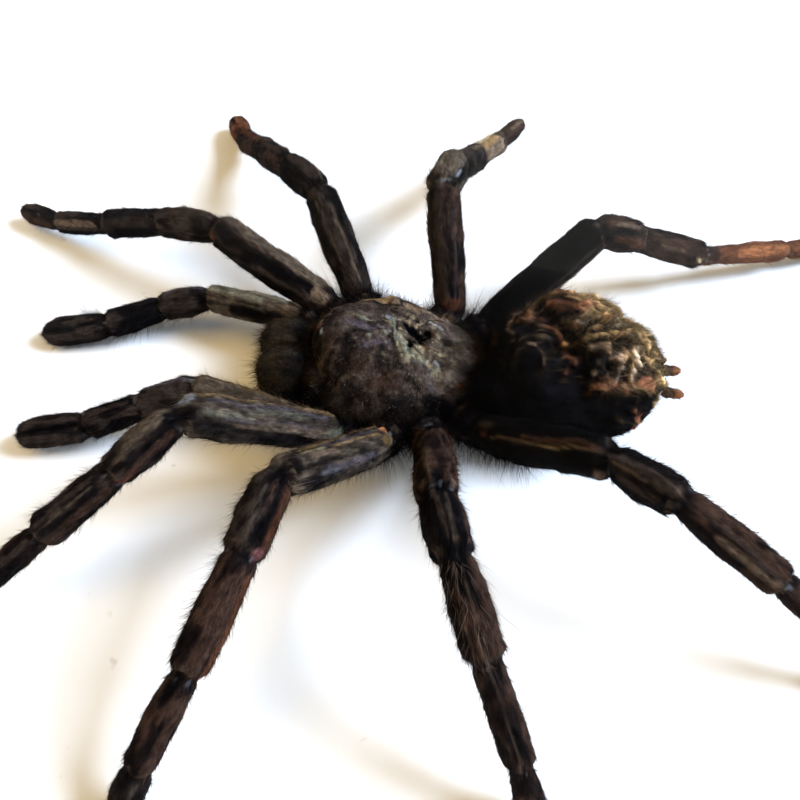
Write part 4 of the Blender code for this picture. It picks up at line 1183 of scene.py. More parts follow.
def mark_carapace(flat, torn, ragged, colour, z):
    """Draws the back's own marks. Gives colour and z with them, and how crusty each place is."""
    crusty = np.zeros_like(z)
    for line, width, height, tone, strength in CARAPACE_MARKS:
        distance = distance_to_line(torn, np.array([(*place, 0.0) for place in line]))
        uneven = 1.0 + 0.7 * noise(flat + 5 * width, 1.1, 19)
        crest = bell(distance, width) * np.clip(uneven, 0, 1.2)
        shown = frayed(crest, 1.3 * ragged)
        colour = mixed(colour, tone, strength * shown)
        z = z + height * crest * (0.7 + 1.2 * ragged)
        if tone in (SAGE, MEMBRANE, CREAM):
            crusty = np.maximum(crusty, shown)
    return colour, z, crusty


def paint_carapace_details(x, y, torn, ragged, shaded_pit, colour):
    """Gives colour with the mottled right rim, the flecks about the pit and the eyes on their hill."""
    rim = smooth_step(3.6, 5.2, y) * smooth_step(-7.5, -5.0, x) * smooth_step(7.0, 5.0, x)
    mottled = fractal(torn, (1.4, 1.0, 1.0), 2, 31)
    mottles = ((TAN, 0.9, 0.02, 0.28), (GOLD, 0.6, 0.22, 0.40), (BLACK, 0.9, -0.08, -0.30))
    for tone, strength, low, high in mottles:
        colour = mixed(colour, tone, strength * rim * smooth_step(low, high, mottled))
    near_pit = bump_at(x, y, FOVEA_X, -0.6, 2.6)
    flecks = smooth_step(0.18, 0.42, fractal(torn, 0.45, 2, 30)) * near_pit * (1 - shaded_pit)
    colour = mixed(colour, GREY, 0.75 * near_pit * smooth_step(-0.25, 0.35, ragged) * (1 - shaded_pit))
    colour = mixed(colour, CREAM, 0.55 * flecks)
    for at_x, at_y, size, tone, strength, low, high in EYES:
        spot = bump_at(x, y, TUBERCLE_X + at_x, at_y, size)
        colour = mixed(colour, tone, strength * smooth_step(low, high, spot))
    return colour


def coat_carapace(skin, y, reach, under, crusty, shaded_pit):
    """Short hairs that lead outward over the back, and longer ones about its rim."""
    hairs = Hairs("carapace_hairs")
    rng = hairs.rng
    top = (~under) * (1 - 0.8 * crusty) * (1 - 0.9 * shaded_pit) * (0.35 + reach)
    count = CARAPACE_HAIRS
    place, normal, _, colour = skin.roots(rng, count, top[:, ::-1])
    outward = normalise(place - np.array([FOVEA_X - 1.0, BODY_SHIFT, place[:, 2].mean()])) * (1, 1, 0)
    lay = lying(normalise(outward + (0.15, 0, 0) + rng.normal(0, 0.25, (count, 3))), normal)
    tint = mixed(colour, BROWN, 0.15) * varied(rng, 0.15, 0.6, count)
    pale = rng.random(count) < 0.08
    tint[pale] = np.array(TAN) * (0.5 + 1.0 * rng.random((pale.sum(), 1)))
    hairs.grow(place, lay, normal, tint, 0.80, width=0.040, lift=16, scatter=12)
    rim = (np.abs(reach - 1) < 0.06) * np.where(y > 3, 0.35, 1.0)
    count = CARAPACE_RIM_HAIRS
    place, normal, _, colour = skin.roots(rng, count, rim[:, ::-1])
    lay = normalise(place * (1, 1, 0) - (CARAPACE_CENTRE_X, 0, 0) + rng.normal(0, 2.0, (count, 3)))
    tint = colour * varied(rng, -0.2, 0.4, count)
    hairs.grow(place, lay, normal, tint, 1.5, width=0.040, lift=12, scatter=18)
    return hairs


def make_carapace(skin_look, hair_look):
    """The hard back: its dome, grooves, eye hill and torn pit, with crust and short hairs on it."""
    x, y, reach, under = carapace_grid()
    flat = np.stack([x, y, np.zeros_like(x)], -1)
    ragged = fractal(flat, 0.7, 3, 12)
    broad = fractal(flat, 2.6, 3, 4)
    bent = flat + 0.5 * noise(flat, 2.0, 7)[..., None]
    folds = (1 - np.abs(fractal(bent, (3.6, 2.2, 1.0), 3, 16))) ** 4
    z = carapace_height(x, y, np.clip(reach, 0, 1), noise(flat, 2.5, 3))
    inside = smooth_step(1.0, 0.9, reach)
    z = z + inside * (0.30 * (folds - 0.4) + 0.16 * ragged + 0.15 * fractal(flat, 2.2, 2, 18))

    colour = np.tile(np.array(BROWN) * 0.9, (*x.shape, 1))
    colour = mixed(colour, np.array(BROWN) * 1.9, 0.9 * smooth_step(0.25, 0.75, folds + 0.35 * ragged))
    colour = mixed(colour, BLACK, 0.80 * smooth_step(0.10, 0.42, broad + 0.45 * ragged))
    torn = warped(warped(flat, 0.40, 1.3, 21), 0.20, 0.45, 24)
    colour, z, crusty = mark_carapace(flat, torn, ragged, colour, z)
    shaded_pit = np.zeros_like(x)
    for at_x, at_y, radius, depth in PIT:
        hole = bump_at(x, y, at_x, at_y, radius * (0.75 + 0.25 * ragged))
        z = z - depth * hole
        shaded_pit = np.maximum(shaded_pit, smooth_step(0.30, 0.60, hole))
    # the pit painted black as shade
    colour = paint_carapace_details(x, y, torn, ragged, shaded_pit, mixed(colour, JET, shaded_pit))

    z = np.where(under, CARAPACE_MARGIN - CARAPACE_EDGE, z)
    points = np.stack([x, y + BODY_SHIFT, z], -1)
    skin = Skin(points[:, ::-1], np.stack([x, y, z * 0.5], -1)[:, ::-1] + 40)
    skin.colour = colour[:, ::-1]
    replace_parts(skin.add("carapace_skin", skin_look), "carapace")
    hairs = coat_carapace(skin, y, reach, under, crusty, shaded_pit)
    hairs.add(hair_look)


def make_sternum(skin_look, hair_look):
    """The plate under the body."""
    around = 64
    top = CARAPACE_MARGIN - CARAPACE_EDGE - 0.3
    levels = (
        (STERNUM_BOTTOM, 0.35), (STERNUM_BOTTOM, 0.62), (STERNUM_BOTTOM + 0.15, 0.82),
        (STERNUM_BOTTOM + 0.8, 0.95), (STERNUM_BOTTOM + 2.5, 0.95),
        (top - 1.5, 0.93), (top, 0.90), (top, 0.4),
    )
    angle = 2 * np.pi * np.arange(around) / around
    rings = []
    for height, share in levels:
        x = STERNUM_CENTRE_X + STERNUM_HALF_LENGTH * share * np.cos(angle)
        y = STERNUM_HALF_WIDTH * share * np.sin(angle)
        rings.append(np.stack([x, y, np.full(around, height)], -1))
    points = np.stack(rings)
    skin = Skin(points, points + 70)
    skin.tint(BLACK, 0.6 * smooth_step(-0.3, 0.4, fractal(points, 2.0, 3, 2)))
    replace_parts(skin.add("sternum_skin", skin_look), "sternum")
    hairs = Hairs("sternum_hairs")
    place, normal, _, colour = skin.roots(hairs.rng, STERNUM_HAIRS)
    lay = normalise(np.array((-0.2, 0, 0.1)) + hairs.rng.normal(0, 0.5, (STERNUM_HAIRS, 3)))
    hairs.grow(place, lay, normal, colour * 0.4, 2.6, width=0.05, lift=45, scatter=20)
    hairs.add(hair_look)


def jaw_skin(sign):
    """One jaw's skin, and its points as they were on a ball. sign is 1 for the right jaw and -1 for
    the left."""
    steps, around = 54, 64
    boxiness, flat_side = 0.22, 0.93
    share = (np.arange(steps) + 0.35) / (steps - 0.3)
    angle = 2 * np.pi * np.arange(around) / around
    forward, out = -np.cos(np.pi * share)[:, None], np.sin(np.pi * share)[:, None]
    across, up = out * np.cos(angle), out * np.sin(angle)
    fuller = 1.0 + boxiness * np.abs(forward * up)
    inward = np.maximum(across, -flat_side) * sign
    unit = np.stack([forward * fuller + 0 * across, inward, up * fuller], -1)
    offset = unit * np.array(CHELICERA_SIZE)
    offset[..., 2] += CHELICERA_SLOPE * offset[..., 0]
    points = np.array(CHELICERA_CENTRE) * (1, sign, 1) + (0, BODY_SHIFT, 0) + offset
    if sign < 0:
        points, unit = points[:, ::-1], unit[:, ::-1]
    return Skin(points, points + 20), unit


def paint_jaw(skin, unit, sign):
    """Dark olive, streaked and lumpy, with a grey edge on its inner side, and painted shade low down and
    towards the rear, where it goes in under the carapace.
    """
    points = skin.points
    lumps = fractal(points, 2.2, 3, 3)
    streaks = fractal(points, (3.0, 0.7, 0.7), 3, 8)
    skin.colour = np.tile(np.array(OLIVE) * 1.5, (*points.shape[:2], 1))
    skin.tint(UMBER, 0.8 * smooth_step(-0.2, 0.4, streaks))
    skin.tint(BLACK, 0.6 * smooth_step(-0.1, 0.5, lumps))
    # painted shade on the lower half
    skin.tint(BLACK, 0.9 * smooth_step(10.0, 7.5, points[..., 2]))
    # painted shade towards the rear, where the jaw meets the carapace
    skin.tint(BLACK, 0.8 * smooth_step(0.1, 0.8, unit[..., 0]))
    inner = bell(unit[..., 1] * -sign - 0.68, 0.07) * (unit[..., 2] > 0)
    skin.tint(GREY, 0.5 * inner * smooth_step(-0.5, 0.1, streaks))
    skin.push(0.14 * lumps + 0.10 * streaks + 0.10 * inner)


def coat_jaw(skin, name, unit, height, sign):
    """Short fur that leads forward, a fringe in front and long hairs below. height is before relief."""
    hairs = Hairs(f"{name}_hairs")
    rng = hairs.rng
    count = JAW_HAIRS
    place, normal, _, colour = skin.roots(rng, count)
    lay = lying(normalise(np.array((-1.0, 0.1 * sign, -0.25)) + rng.normal(0, 0.22, (count, 3))), normal)
    tint = mixed(colour, BROWN, 0.25) * varied(rng, 0.35, 0.5, count)
    hairs.grow(place, lay, normal, tint, 0.80, width=0.04, lift=14, scatter=11)
    front = smooth_step(-0.2, -0.9, unit[..., 0])
    place, normal, _, colour = skin.roots(rng, JAW_FRONT_HAIRS, front + 0.02)
    lay = normalise(np.array((-1.0, 0.0, -0.3)) + rng.normal(0, 0.3, (JAW_FRONT_HAIRS, 3)))
    hairs.grow(place, lay, normal, colour * 0.6, 1.4, width=0.035, lift=35, scatter=16)
    low = smooth_step(10.0, 7.5, height) * smooth_step(-0.3, 0.4, unit[..., 0])
    place, normal, _, colour = skin.roots(rng, JAW_LOW_HAIRS, low + 0.001)
    lay = normalise(np.array((0.3, 0.0, -1.0)) + rng.normal(0, 0.4, (JAW_LOW_HAIRS, 3)))
    hairs.grow(place, lay, normal, colour * 0.4, 2.6, width=0.045, lift=40, scatter=18)
    return hairs


def make_chelicerae(skin_look, hair_look):
    """The two swollen jaws, with short fur and a fringe of longer hairs in front."""
    for side, sign in (("left", -1), ("right", 1)):
        name = f"chelicera_{side}"
        skin, unit = jaw_skin(sign)
        height = skin.points[..., 2]
        paint_jaw(skin, unit, sign)
        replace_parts(skin.add(f"{name}_skin", skin_look), name)
        hairs = coat_jaw(skin, name, unit, height, sign)
        hairs.add(hair_look)


# ---------------------------------------------------------------- abdomen
# Folds that stand up on the shrivelled skin: places along each as (share of the length from the front,
# degrees up from the right side), half width and height in mm, colour and strength.
ABDOMEN_RIDGES = (
    (((0.26, 48), (0.20, 71), (0.22, 101), (0.28, 106), (0.33, 112), (0.38, 126)), 0.26, 0.30, TAN, 0.28),
    (
        ((0.33, 66), (0.35, 79), (0.38, 88), (0.43, 103), (0.43, 115), (0.47, 121), (0.45, 131)),
        0.40, 0.75, RUST, 0.65,
    ),
    (((0.43, 103), (0.48, 104), (0.52, 101), (0.57, 96), (0.62, 90), (0.66, 85)), 0.45, 0.60, GOLD, 0.65),
    (((0.38, 56), (0.45, 60), (0.50, 54), (0.56, 44), (0.61, 50), (0.61, 66)), 0.80, 0.90, RUST, 0.95),
    (((0.41, 73), (0.46, 82), (0.52, 90), (0.57, 88), (0.62, 74)), 0.55, 0.60, BROWN, 0.90),
    (((0.74, 62), (0.73, 76), (0.70, 90), (0.73, 101), (0.77, 112)), 0.60, 0.60, GOLD, 0.85),
    (((0.55, 146), (0.57, 137), (0.62, 136), (0.68, 139), (0.77, 134)), 0.65, 0.95, RUST, 0.90),
    (((0.62, 112), (0.64, 122), (0.61, 131)), 0.45, 0.50, TAN, 0.70),
    (((0.52, 112), (0.55, 121), (0.54, 130)), 0.45, 0.45, GREY, 0.80),
    (((0.68, 103), (0.70, 116), (0.69, 128)), 0.50, 0.55, TAN, 0.80),
    (((0.24, 20), (0.32, 30), (0.42, 26), (0.52, 10)), 0.55, 0.60, BROWN, 0.70),
    (((0.30, -10), (0.45, 2), (0.60, -8), (0.74, 8)), 0.55, 0.60, BROWN, 0.70),
    (((0.68, 160), (0.71, 172), (0.68, 186)), 0.50, 0.45, RUST, 0.80),
)
# Sunk places, painted black as shade: share of the length, degrees, radius and depth in mm
ABDOMEN_HOLLOWS = (
    (0.47, 111, 0.9, 0.9), (0.60, 106, 0.8, 0.8), (0.60, 125, 0.9, 0.8), (0.48, 93, 0.8, 0.8),
    (0.38, 108, 1.0, 0.9), (0.36, 74, 0.7, 0.8), (0.33, 54, 0.9, 0.8), (0.54, 72, 1.0, 0.7),
    (0.28, 84, 0.9, 0.8), (0.50, 138, 1.2, 0.9), (0.79, 96, 0.7, 0.7), (0.80, 122, 0.7, 0.6),
    (0.62, 152, 1.4, 0.9),
)
# Broad swellings, and sinkings below 0, that bring its outline to the photograph's: mm, share of the
# length, hundreds of degrees up from the right side, and radius in those measures
ABDOMEN_SWELLINGS = (
    (0.8, 0.60, 0.22, 0.12), (-1.2, 0.82, 0.35, 0.14), (0.7, 0.72, 1.70, 0.14), (-0.9, 0.92, 1.0, 0.10),
    (3.2, 0.22, 1.80, 0.20),
)


def shrivelled(unit):
    """The abdomen's skin, sunk between folds that run back and down over it."""
    around = np.arctan2(unit[..., 2], unit[..., 1])
    along = unit[..., 0]
    fullness = np.sqrt(np.clip(1 - along * along, 0, 1))
    cross_folds = 0.055 * np.sin(5.0 * along + 2.0 * np.sin(2 * around) + 0.6)
    long_folds = 0.050 * np.sin(4 * around + 3.5 * along)
    creases = 0.030 * np.sin(9 * along - 3 * around)
    hollow = -0.10 * bump_at(along, around, -0.15, math.radians(75), 0.35)
    blunt_rear = 0.05 * np.maximum(0.0, along) * fullness
    folds = cross_folds + long_folds + creases + hollow
    return unit * (1.0 + blunt_rear + folds * (0.35 + 0.65 * fullness))[..., None]


def abdomen_point(share, degrees):
    """Points on the abdomen: share of the way from its front to its tip, degrees up from its right."""
    share, angle = np.asarray(share, float), np.radians(np.asarray(degrees, float))
    out = np.sin(np.pi * share) ** np.where(share < 0.5, 0.85, 1.0)
    unit = np.stack([-np.cos(np.pi * share) + 0 * angle, out * np.cos(angle), out * np.sin(angle)], -1)
    sized = shrivelled(unit) * np.array(ABDOMEN_SIZE)
    yaw = math.radians(ABDOMEN_YAW)
    x = sized[..., 0] * math.cos(yaw) - sized[..., 1] * math.sin(yaw)
    y = sized[..., 0] * math.sin(yaw) + sized[..., 1] * math.cos(yaw)
    sunk = PEDICEL_DROP * np.clip(1 - share / 0.3, 0, 1) ** 1.5
    return np.stack([x, y, sized[..., 2] - sunk], -1) + np.array(ABDOMEN_CENTRE)


def abdomen_skin():
    """The abdomen's skin with the stalk in front of it, and where each point is: its share of the
    length from the front, and its degrees up from the right side."""
    steps, stalk_steps = 176, 12
    degrees = 360 * np.arange(BODY_AROUND) / BODY_AROUND
    share = (np.arange(1, steps) / steps)[:, None]
    body = abdomen_point(share + 0 * degrees, degrees + 0 * share)
    stalk_start = np.array((PEDICEL_START_X, 0, ABDOMEN_CENTRE[2] - PEDICEL_DROP))
    stalk_end = abdomen_point(0.0, 0.0)
    circle = np.stack([0 * degrees, np.cos(np.radians(degrees)), np.sin(np.radians(degrees))], -1)
    stalk = []
    for i in range(stalk_steps):
        middle = stalk_start + (stalk_end - stalk_start) * i / stalk_steps
        stalk.append(middle + circle * PEDICEL_RADIUS)
    points = np.concatenate([np.stack(stalk), body])
    share = np.concatenate([np.zeros((stalk_steps, 1)), share]) + 0 * degrees
    skin = Skin(points, warped(points, 1.4, 3.2, 66)[..., [1, 2, 0]] + 10)
    return skin, share, degrees + 0 * share


def pulled(points):
    """Points on the abdomen, moved about as its folds pull them."""
    return warped(points, 0.9, 2.4, 61)


def abdomen_zones(points, share, degrees, grit):
    """How far each point belongs to the black front, partly painted shade, the underside in painted shade,
    the pale rear and the lit upper side.
    """
    # black over the front, partly its own colour and partly painted shade where it meets the body
    front_dark_and_shade = smooth_step(0.46, 0.30, share + 0.0022 * (110 - degrees)) * (degrees < 230)
    # black over the underside as painted shade
    low_shade = smooth_step(136, 150, degrees) * smooth_step(280, 245, degrees)
    low_shade = low_shade * smooth_step(0.90, 0.80, share)
    dark_and_shade = np.clip(front_dark_and_shade + low_shade + 0.25 * grit, 0, 1)
    rear = smooth_step(0.54, 0.68, share + 0.06 * noise(points, 2.0, 80))
    upper = smooth_step(0.40, 0.52, share) * smooth_step(115, 70, degrees) * (degrees < 180)
    return dark_and_shade, rear, upper


def paint_abdomen(skin, share, degrees):
    """Folds, strands, hollows and crust in shape and colour, with painted shade between the folds and in the
    hollows, and painted highlight on the crests. Gives the zones that its hairs follow.
    """
    points = skin.points
    torn = warped(pulled(points), 0.25, 0.9, 64)
    folds = (1 - np.abs(fractal(torn, (4.4, 2.5, 2.5), 2, 70))) ** 4
    swept = warped(points, 1.3, 2.8, 75)
    strands = fractal(swept, (4.0, 0.55, 0.55), 3, 75)
    fibres = fractal(swept, (1.6, 0.4, 0.4), 2, 97)
    grit = fractal(points, 0.5, 2, 77)
    on_body = smooth_step(0.03, 0.12, share)
    dark_and_shade, rear, upper = abdomen_zones(points, share, degrees, grit)
    push = on_body * (0.75 * folds + 0.36 * strands + 0.10 * fibres + 0.08 * grit - 0.40)
    crests = folds + 0.70 * strands

    skin.colour = mixed(np.array(OLIVE) * 0.5 + 0 * points, BROWN, smooth_step(-0.1, 0.4, strands))
    rusty = smooth_step(-0.15, 0.35, fractal(points, 3.2, 2, 84))
    skin.tint(RUST, 0.85 * rusty * smooth_step(0.35, 0.75, crests))
    # gold on the crests: their own colour, stronger on the pale rear, and on the lit upper side a painted
    # highlight
    skin.tint(GOLD, smooth_step(0.50, 0.90, crests) * (0.25 + 0.65 * np.maximum(rear, upper)))
    fuzzy = rear * smooth_step(0.05, 0.45, fractal(points, 2.6, 2, 82)) * smooth_step(150, 125, degrees)
    skin.tint(GREY, 0.8 * fuzzy * smooth_step(-0.3, 0.3, strands))
    lumpy = fractal(torn, (1.9, 0.6, 0.6), 3, 85) + 0.3 * crests
    crust = np.clip(rear + 0.15 * upper, 0, 1) * smooth_step(0.30, 0.75, lumpy)
    skin.tint(CREAM, 0.34 * crust * smooth_step(-0.4, 0.4, fibres))
    push = push + on_body * 0.12 * crust
    # painted shade between the folds
    skin.tint(BLACK, 0.97 * smooth_step(0.62, 0.25, crests))
    # the front's black, partly painted shade, and painted shade on the underside
    skin.tint(BLACK, dark_and_shade)
    for line, width, height, tone, strength in ABDOMEN_RIDGES:
        distance = distance_to_line(torn, pulled(abdomen_point(*np.array(line).T)))
        crest = bell(distance, width) * np.clip(0.85 + 0.7 * noise(points, 1.8, 95), 0.1, 1.2)
        flank = bell(distance - 2.3 * width, width)
        push = push + on_body * 0.34 * height * (crest * (1 + 1.2 * strands) - 0.40 * flank)
        # painted shade in the groove beside each fold
        skin.tint(BLACK, 0.65 * flank)
        skin.tint(tone, strength * frayed(1.1 * crest, 1.4 * strands + 1.2 * fibres))
        glint = smooth_step(0.80, 1.15, crest + 0.8 * strands) * (0.15 + 0.85 * np.maximum(rear, 0.3 * upper))
        skin.tint(CREAM, 0.25 * strength * glint)
    for at, turn, radius, depth in ABDOMEN_HOLLOWS:
        distance = np.linalg.norm(torn - pulled(abdomen_point(at, turn)), axis=-1)
        sunk = np.exp(-((distance / radius) ** 2) / 2)
        push = push - 1.1 * depth * sunk
        # painted shade in the hollows
        skin.tint(BLACK, 0.97 * smooth_step(0.20, 0.75, sunk + 0.15 * strands))
    swollen = 0.0
    for height, at, turn, radius in ABDOMEN_SWELLINGS:
        swollen = swollen + height * bump_at(share, degrees / 100, at, turn, radius)
    # lighter over the rear and the upper side: partly the pale crust's own colour, partly painted highlight
    lighter = 1 + 0.7 * np.clip(rear + upper, 0, 1) * (1 - dark_and_shade)
    skin.colour = skin.colour * (lighter * np.exp(1.4 * strands + 0.9 * fibres))[..., None]
    skin.push(push + on_body * swollen)
    return on_body, dark_and_shade, rear, upper


def coat_abdomen(skin, share, degrees, on_body, dark_and_shade, rear, upper):
    """Matted short hairs, golden ones on the pale rear and upper side, and a black tuft in front."""
    hairs = Hairs("abdomen_hairs")
    rng = hairs.rng
    count = ABDOMEN_HAIRS
    place, normal, lay, colour = skin.roots(rng, count, 0.35 + dark_and_shade + 0.6 * on_body)
    swirl = np.stack([noise(place, 1.8, seed) for seed in (101, 102, 103)], -1)
    lay = lying(normalise(lay + 1.6 * swirl + rng.normal(0, 0.3, (count, 3))), normal)
    tint = colour * varied(rng, 0.10, 0.55, count)
    hairs.grow(place, lay, normal, tint, 0.95, width=0.038, lift=20, scatter=14)
    count = ABDOMEN_GOLDEN_HAIRS
    golden = on_body * (0.1 + rear + upper) * (1 - dark_and_shade) * (share < 0.9)
    place, normal, lay, _ = skin.roots(rng, count, golden)
    lay = normalise(lay + rng.normal(0, 0.7, (count, 3)))
    tint = mixed(np.array(GOLD) + 0 * place, CREAM, 0.35 * rng.random(count))
    tint = tint * (0.2 + 0.8 * rng.random((count, 1)))
    hairs.grow(place, lay, normal, tint, 1.6, width=0.028, lift=22, scatter=16)
    count = ABDOMEN_FRONT_HAIRS
    near_side = (degrees > 130) * (degrees < 230)
    front = smooth_step(0.22, 0.05, share) + 0.8 * smooth_step(0.30, 0.15, share) * near_side
    place, normal, _, _ = skin.roots(rng, count, front)
    lay = normalise(-np.array((0.8, 0.0, 0.0)) + rng.normal(0, 0.5, (count, 3)) + normal * 0.3)
    tint = np.array(BLACK) * (0.6 + 1.5 * rng.random((count, 1)))
    hairs.grow(place, lay, normal, tint, 1.9, width=0.045, lift=40, scatter=18)
    return hairs


def make_abdomen(skin_look, hair_look):
    """The shrivelled abdomen: folds, hollows and crust, with the stalk in front of it."""
    skin, share, degrees = abdomen_skin()
    zones = paint_abdomen(skin, share, degrees)
    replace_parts(skin.add("abdomen_skin", skin_look), "abdomen")
    hairs = coat_abdomen(skin, share, degrees, *zones)
    hairs.add(hair_look)


def make_spinnerets(skin_look, hair_look):
    """The pair of short jointed fingers at the abdomen's tip."""
    around, steps = 24, 30
    shares, radii = np.array(SPINNERET_PROFILE).T
    for side, (from_front, angle_round, length) in SPINNERETS.items():
        name = f"spinneret_{side}"
        root = abdomen_point(from_front, angle_round)
        ahead = normalise(normalise(root - np.array(ABDOMEN_CENTRE)) + (0.8, 0, 0))
        root = root + ahead * SPINNERET_CLEARANCE
        across = normalise(np.cross((0, 0, 1), ahead))
        lift = np.cross(ahead, across)
        share = np.linspace(0, 1, steps)
        radius = np.interp(share, shares, radii)
        angle = 2 * np.pi * np.arange(around) / around
        ring = across * np.cos(angle)[:, None] + lift * np.sin(angle)[:, None]
        points = root + ahead * (share * length)[:, None, None] + ring * radius[:, None, None]
        skin = Skin(points, points + 30)
        lumps = fractal(points, 0.8, 2, 4)
        skin.colour = np.tile(np.array(RED_BROWN), (steps, around, 1))
        skin.tint(ORANGE, 0.55 * smooth_step(0.35, 0.75, share)[:, None] + 0.2 * lumps)
        skin.push(0.08 * lumps)
        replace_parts(skin.add(f"{name}_skin", skin_look), name)
        hairs = Hairs(f"{name}_hairs")
        place, normal, lay, colour = skin.roots(hairs.rng, SPINNERET_HAIRS)
        hairs.grow(place, lay, normal, colour * 0.5, 0.5, width=0.04, lift=20, scatter=14)
        hairs.add(hair_look)


# ---------------------------------------------------------------- frame, stage, light and view
def dress_frame():
    """Gives the frame's own solids their finishes."""
    board, steel = board_finish(), steel_finish()
    wood = {"X": wood_finish("frame_wood_level", "X"), "Z": wood_finish("frame_wood_upright", "Z")}
    finishes = {"glass": glass_finish(), "back_board": hardboard_finish(), "mount_board": board}
    for name, node in frame["nodes"].items():
        if name.startswith("frame_rail"):
            finish = wood["X" if name.endswith(("bottom", "top")) else "Z"]
        elif name.startswith("spacer"):
            finish = board
        elif name.startswith(("retaining_point", "hanger")):
            finish = steel
        elif name.startswith("fang"):
            finish = fang_finish()
        else:
            finish = finishes.get(name)
        if finish:
            node.data.materials.clear()
            node.data.materials.append(finish)


def fang_finish():
    """Glossy black, with a reddish cast and fine lengthwise lines."""
    made = Finish("fang")
    where = made.where()
    lines = made.noise(made.stretched(where, (2200.0, 500.0, 500.0)), 1.0, 3.0)
    colour = made.mix(made.ramp(lines, 0.35, 0.7), (0.006, 0.004, 0.004), (0.030, 0.012, 0.008))
    made.set(base_color=colour, roughness=made.ramp(lines, 0.3, 0.7, 0.14, 0.30))
    return made.material


def add_floor():
    """The pale surface that the frame stands on."""
    half = 3.0  # metres
    mesh = bpy.data.meshes.new("floor")
    corners = [(x * half, y * half, 0) for x, y in ((-1, -1), (1, -1), (1, 1), (-1, 1))]
    mesh.from_pydata(corners, [], [(0, 1, 2, 3)])
    floor = bpy.data.objects.new("floor", mesh)
    made = Finish("floor")
    made.set(base_color=(0.80, 0.79, 0.77), roughness=0.9)
    mesh.materials.append(made.material)
    bpy.context.scene.collection.objects.link(floor)


def add_light(name, towards, distance, size, power, colour):
    """A square soft light that shines at the middle of the board from a direction."""
    target = Vector((0.0, BOARD_FACE, BOARD_CENTRE_Z))
    data = bpy.data.lights.new(name, "AREA")
    data.shape = "SQUARE"
    data.size = size
    data.energy = power
    data.color = colour
    lamp = bpy.data.objects.new(name, data)
    lamp.location = target + Vector(towards).normalized() * distance
    lamp.rotation_mode = "QUATERNION"
    lamp.rotation_quaternion = (lamp.location - target).to_track_quat("Z", "Y")
    bpy.context.scene.collection.objects.link(lamp)
    lamp.visible_camera = False
    lamp.light_linking.receiver_collection = all_but_glass()
    lamp.light_linking.blocker_collection = specimen_pieces()
    return lamp


def add_room_light():
    """A broad lamp above, for the frame and the floor, which the windows over the board don't light."""
    lamp = add_light(
        "room", towards=(-0.35, -0.60, 0.75), distance=1.5, size=1.2, power=16.0,
        colour=(1.0, 0.98, 0.95),
    )
    lit = linked("room_lit", ("frame_rail", "back_board", "retaining_point", "hanger"))
    lit.objects.link(bpy.data.objects["floor"])
    lamp.light_linking.receiver_collection = lit
    lamp.light_linking.blocker_collection = None


def linked(name, starts):
    """A collection of the frame's nodes whose names start so."""
    found = bpy.data.collections.new(name)
    for node_name, node in frame["nodes"].items():
        if node_name.startswith(starts):
            found.objects.link(node)
    return found


def all_but_glass():
    """What the windows light. On the pane they would show as hard white squares, and on the floor
    they would leave uneven pools of light."""
    found = bpy.data.collections.get("lit")
    if found is None:
        found = linked("lit", "glass")
        found.objects.link(bpy.data.objects["floor"])
        for member in found.collection_objects:
            member.light_linking.link_state = "EXCLUDE"
    return found


def specimen_pieces():
    """What casts shadows: the specimen. The frame's rails would darken the board's rim."""
    found = bpy.data.collections.get("shading")
    if found is None:
        found = bpy.data.collections.new("shading")
        for piece in bpy.context.scene.objects:
            if piece.name.endswith(("_skin", "_hairs")):
                found.objects.link(piece)
    return found


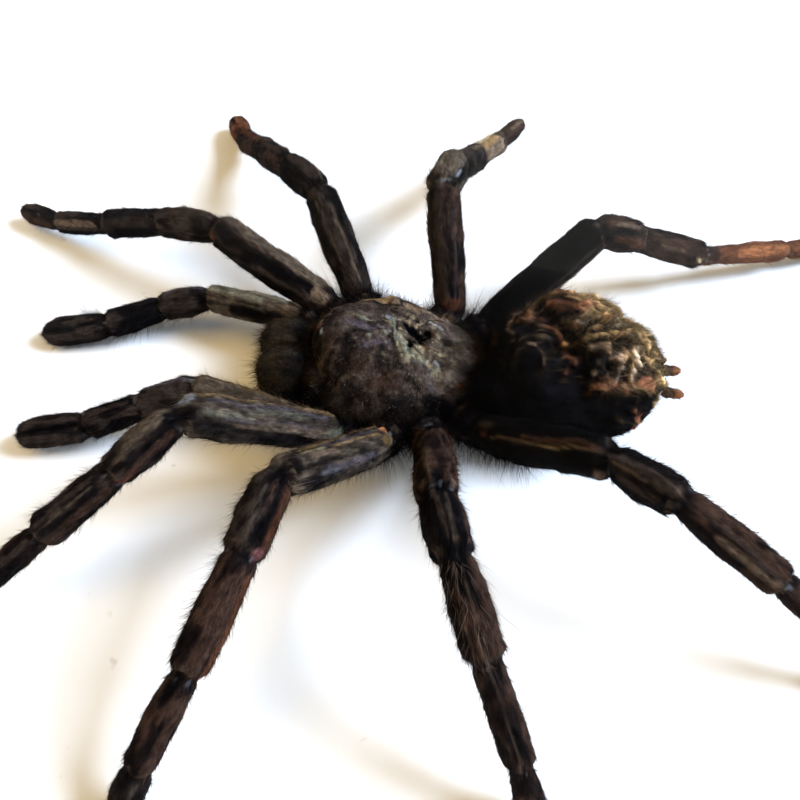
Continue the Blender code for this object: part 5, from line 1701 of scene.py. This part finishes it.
def add_lights():
    """A cool window to the right of the photograph, a warm one to its left, and a dim sky all round."""
    add_light(
        "window_cool", towards=(0.0, -0.70, -0.71), distance=0.6, size=0.22, power=6.5,
        colour=(0.86, 1.0, 1.25),
    )
    add_light(
        "window_warm", towards=(-0.08, -0.86, 0.50), distance=0.9, size=0.60, power=4.3,
        colour=(1.0, 0.62, 0.14),
    )
    add_room_light()
    world = bpy.data.worlds.new("sky")
    bpy.context.scene.world = world
    world.use_nodes = True
    sky = world.node_tree.nodes["Background"]
    sky.inputs["Color"].default_value = (1.0, 0.92, 0.78, 1.0)
    sky.inputs["Strength"].default_value = 0.07


CAMERA_PLACE = (-0.2, -60.1, 93.4)  # where the photograph was taken from, in specimen mm
CAMERA_YAW, CAMERA_PITCH, CAMERA_ROLL = -1.4, 56.7, -0.4  # degrees


def add_camera():
    """A camera at the photograph's place and angle."""
    yaw, pitch, roll = (math.radians(a) for a in (CAMERA_YAW, CAMERA_PITCH, CAMERA_ROLL))
    ahead = Vector((math.sin(yaw) * math.cos(pitch), math.cos(yaw) * math.cos(pitch), -math.sin(pitch)))
    level = ahead.cross(Vector((0, 0, 1))).normalized()
    above = level.cross(ahead)
    right = level * math.cos(roll) + above * math.sin(roll)
    up = above * math.cos(roll) - level * math.sin(roll)
    turned = Matrix(((0, 1, 0), (0, 0, -1), (-1, 0, 0))) @ Matrix((right, up, -ahead)).transposed()
    data = bpy.data.cameras.new("camera")
    data.lens, data.sensor_width = 36.0, 36.0
    data.clip_start = 0.001
    camera = bpy.data.objects.new("camera", data)
    place = Vector(to_frame(np.array(CAMERA_PLACE)))
    camera.matrix_world = Matrix.Translation(place) @ turned.to_4x4()
    bpy.context.scene.collection.objects.link(camera)
    bpy.context.scene.camera = camera


def main():
    """Dresses the frame, builds the specimen's skins and hairs, and sets up the view."""
    bpy.context.scene.view_settings.view_transform = "Standard"
    dress_frame()
    skin_look = skin_finish("leg_skin", dust=0.012, bump=0.9)
    body_look = skin_finish("body_skin", dust=0.10, bump=0.7)
    hair_look = hair_finish()
    make_legs(skin_look, hair_look)
    make_carapace(body_look, hair_look)
    make_sternum(body_look, hair_look)
    make_chelicerae(body_look, hair_look)
    make_abdomen(skin_finish("abdomen_skin", dust=0.06, bump=0.7), hair_look)
    make_spinnerets(body_look, hair_look)
    add_floor()
    add_lights()
    add_camera()


main()
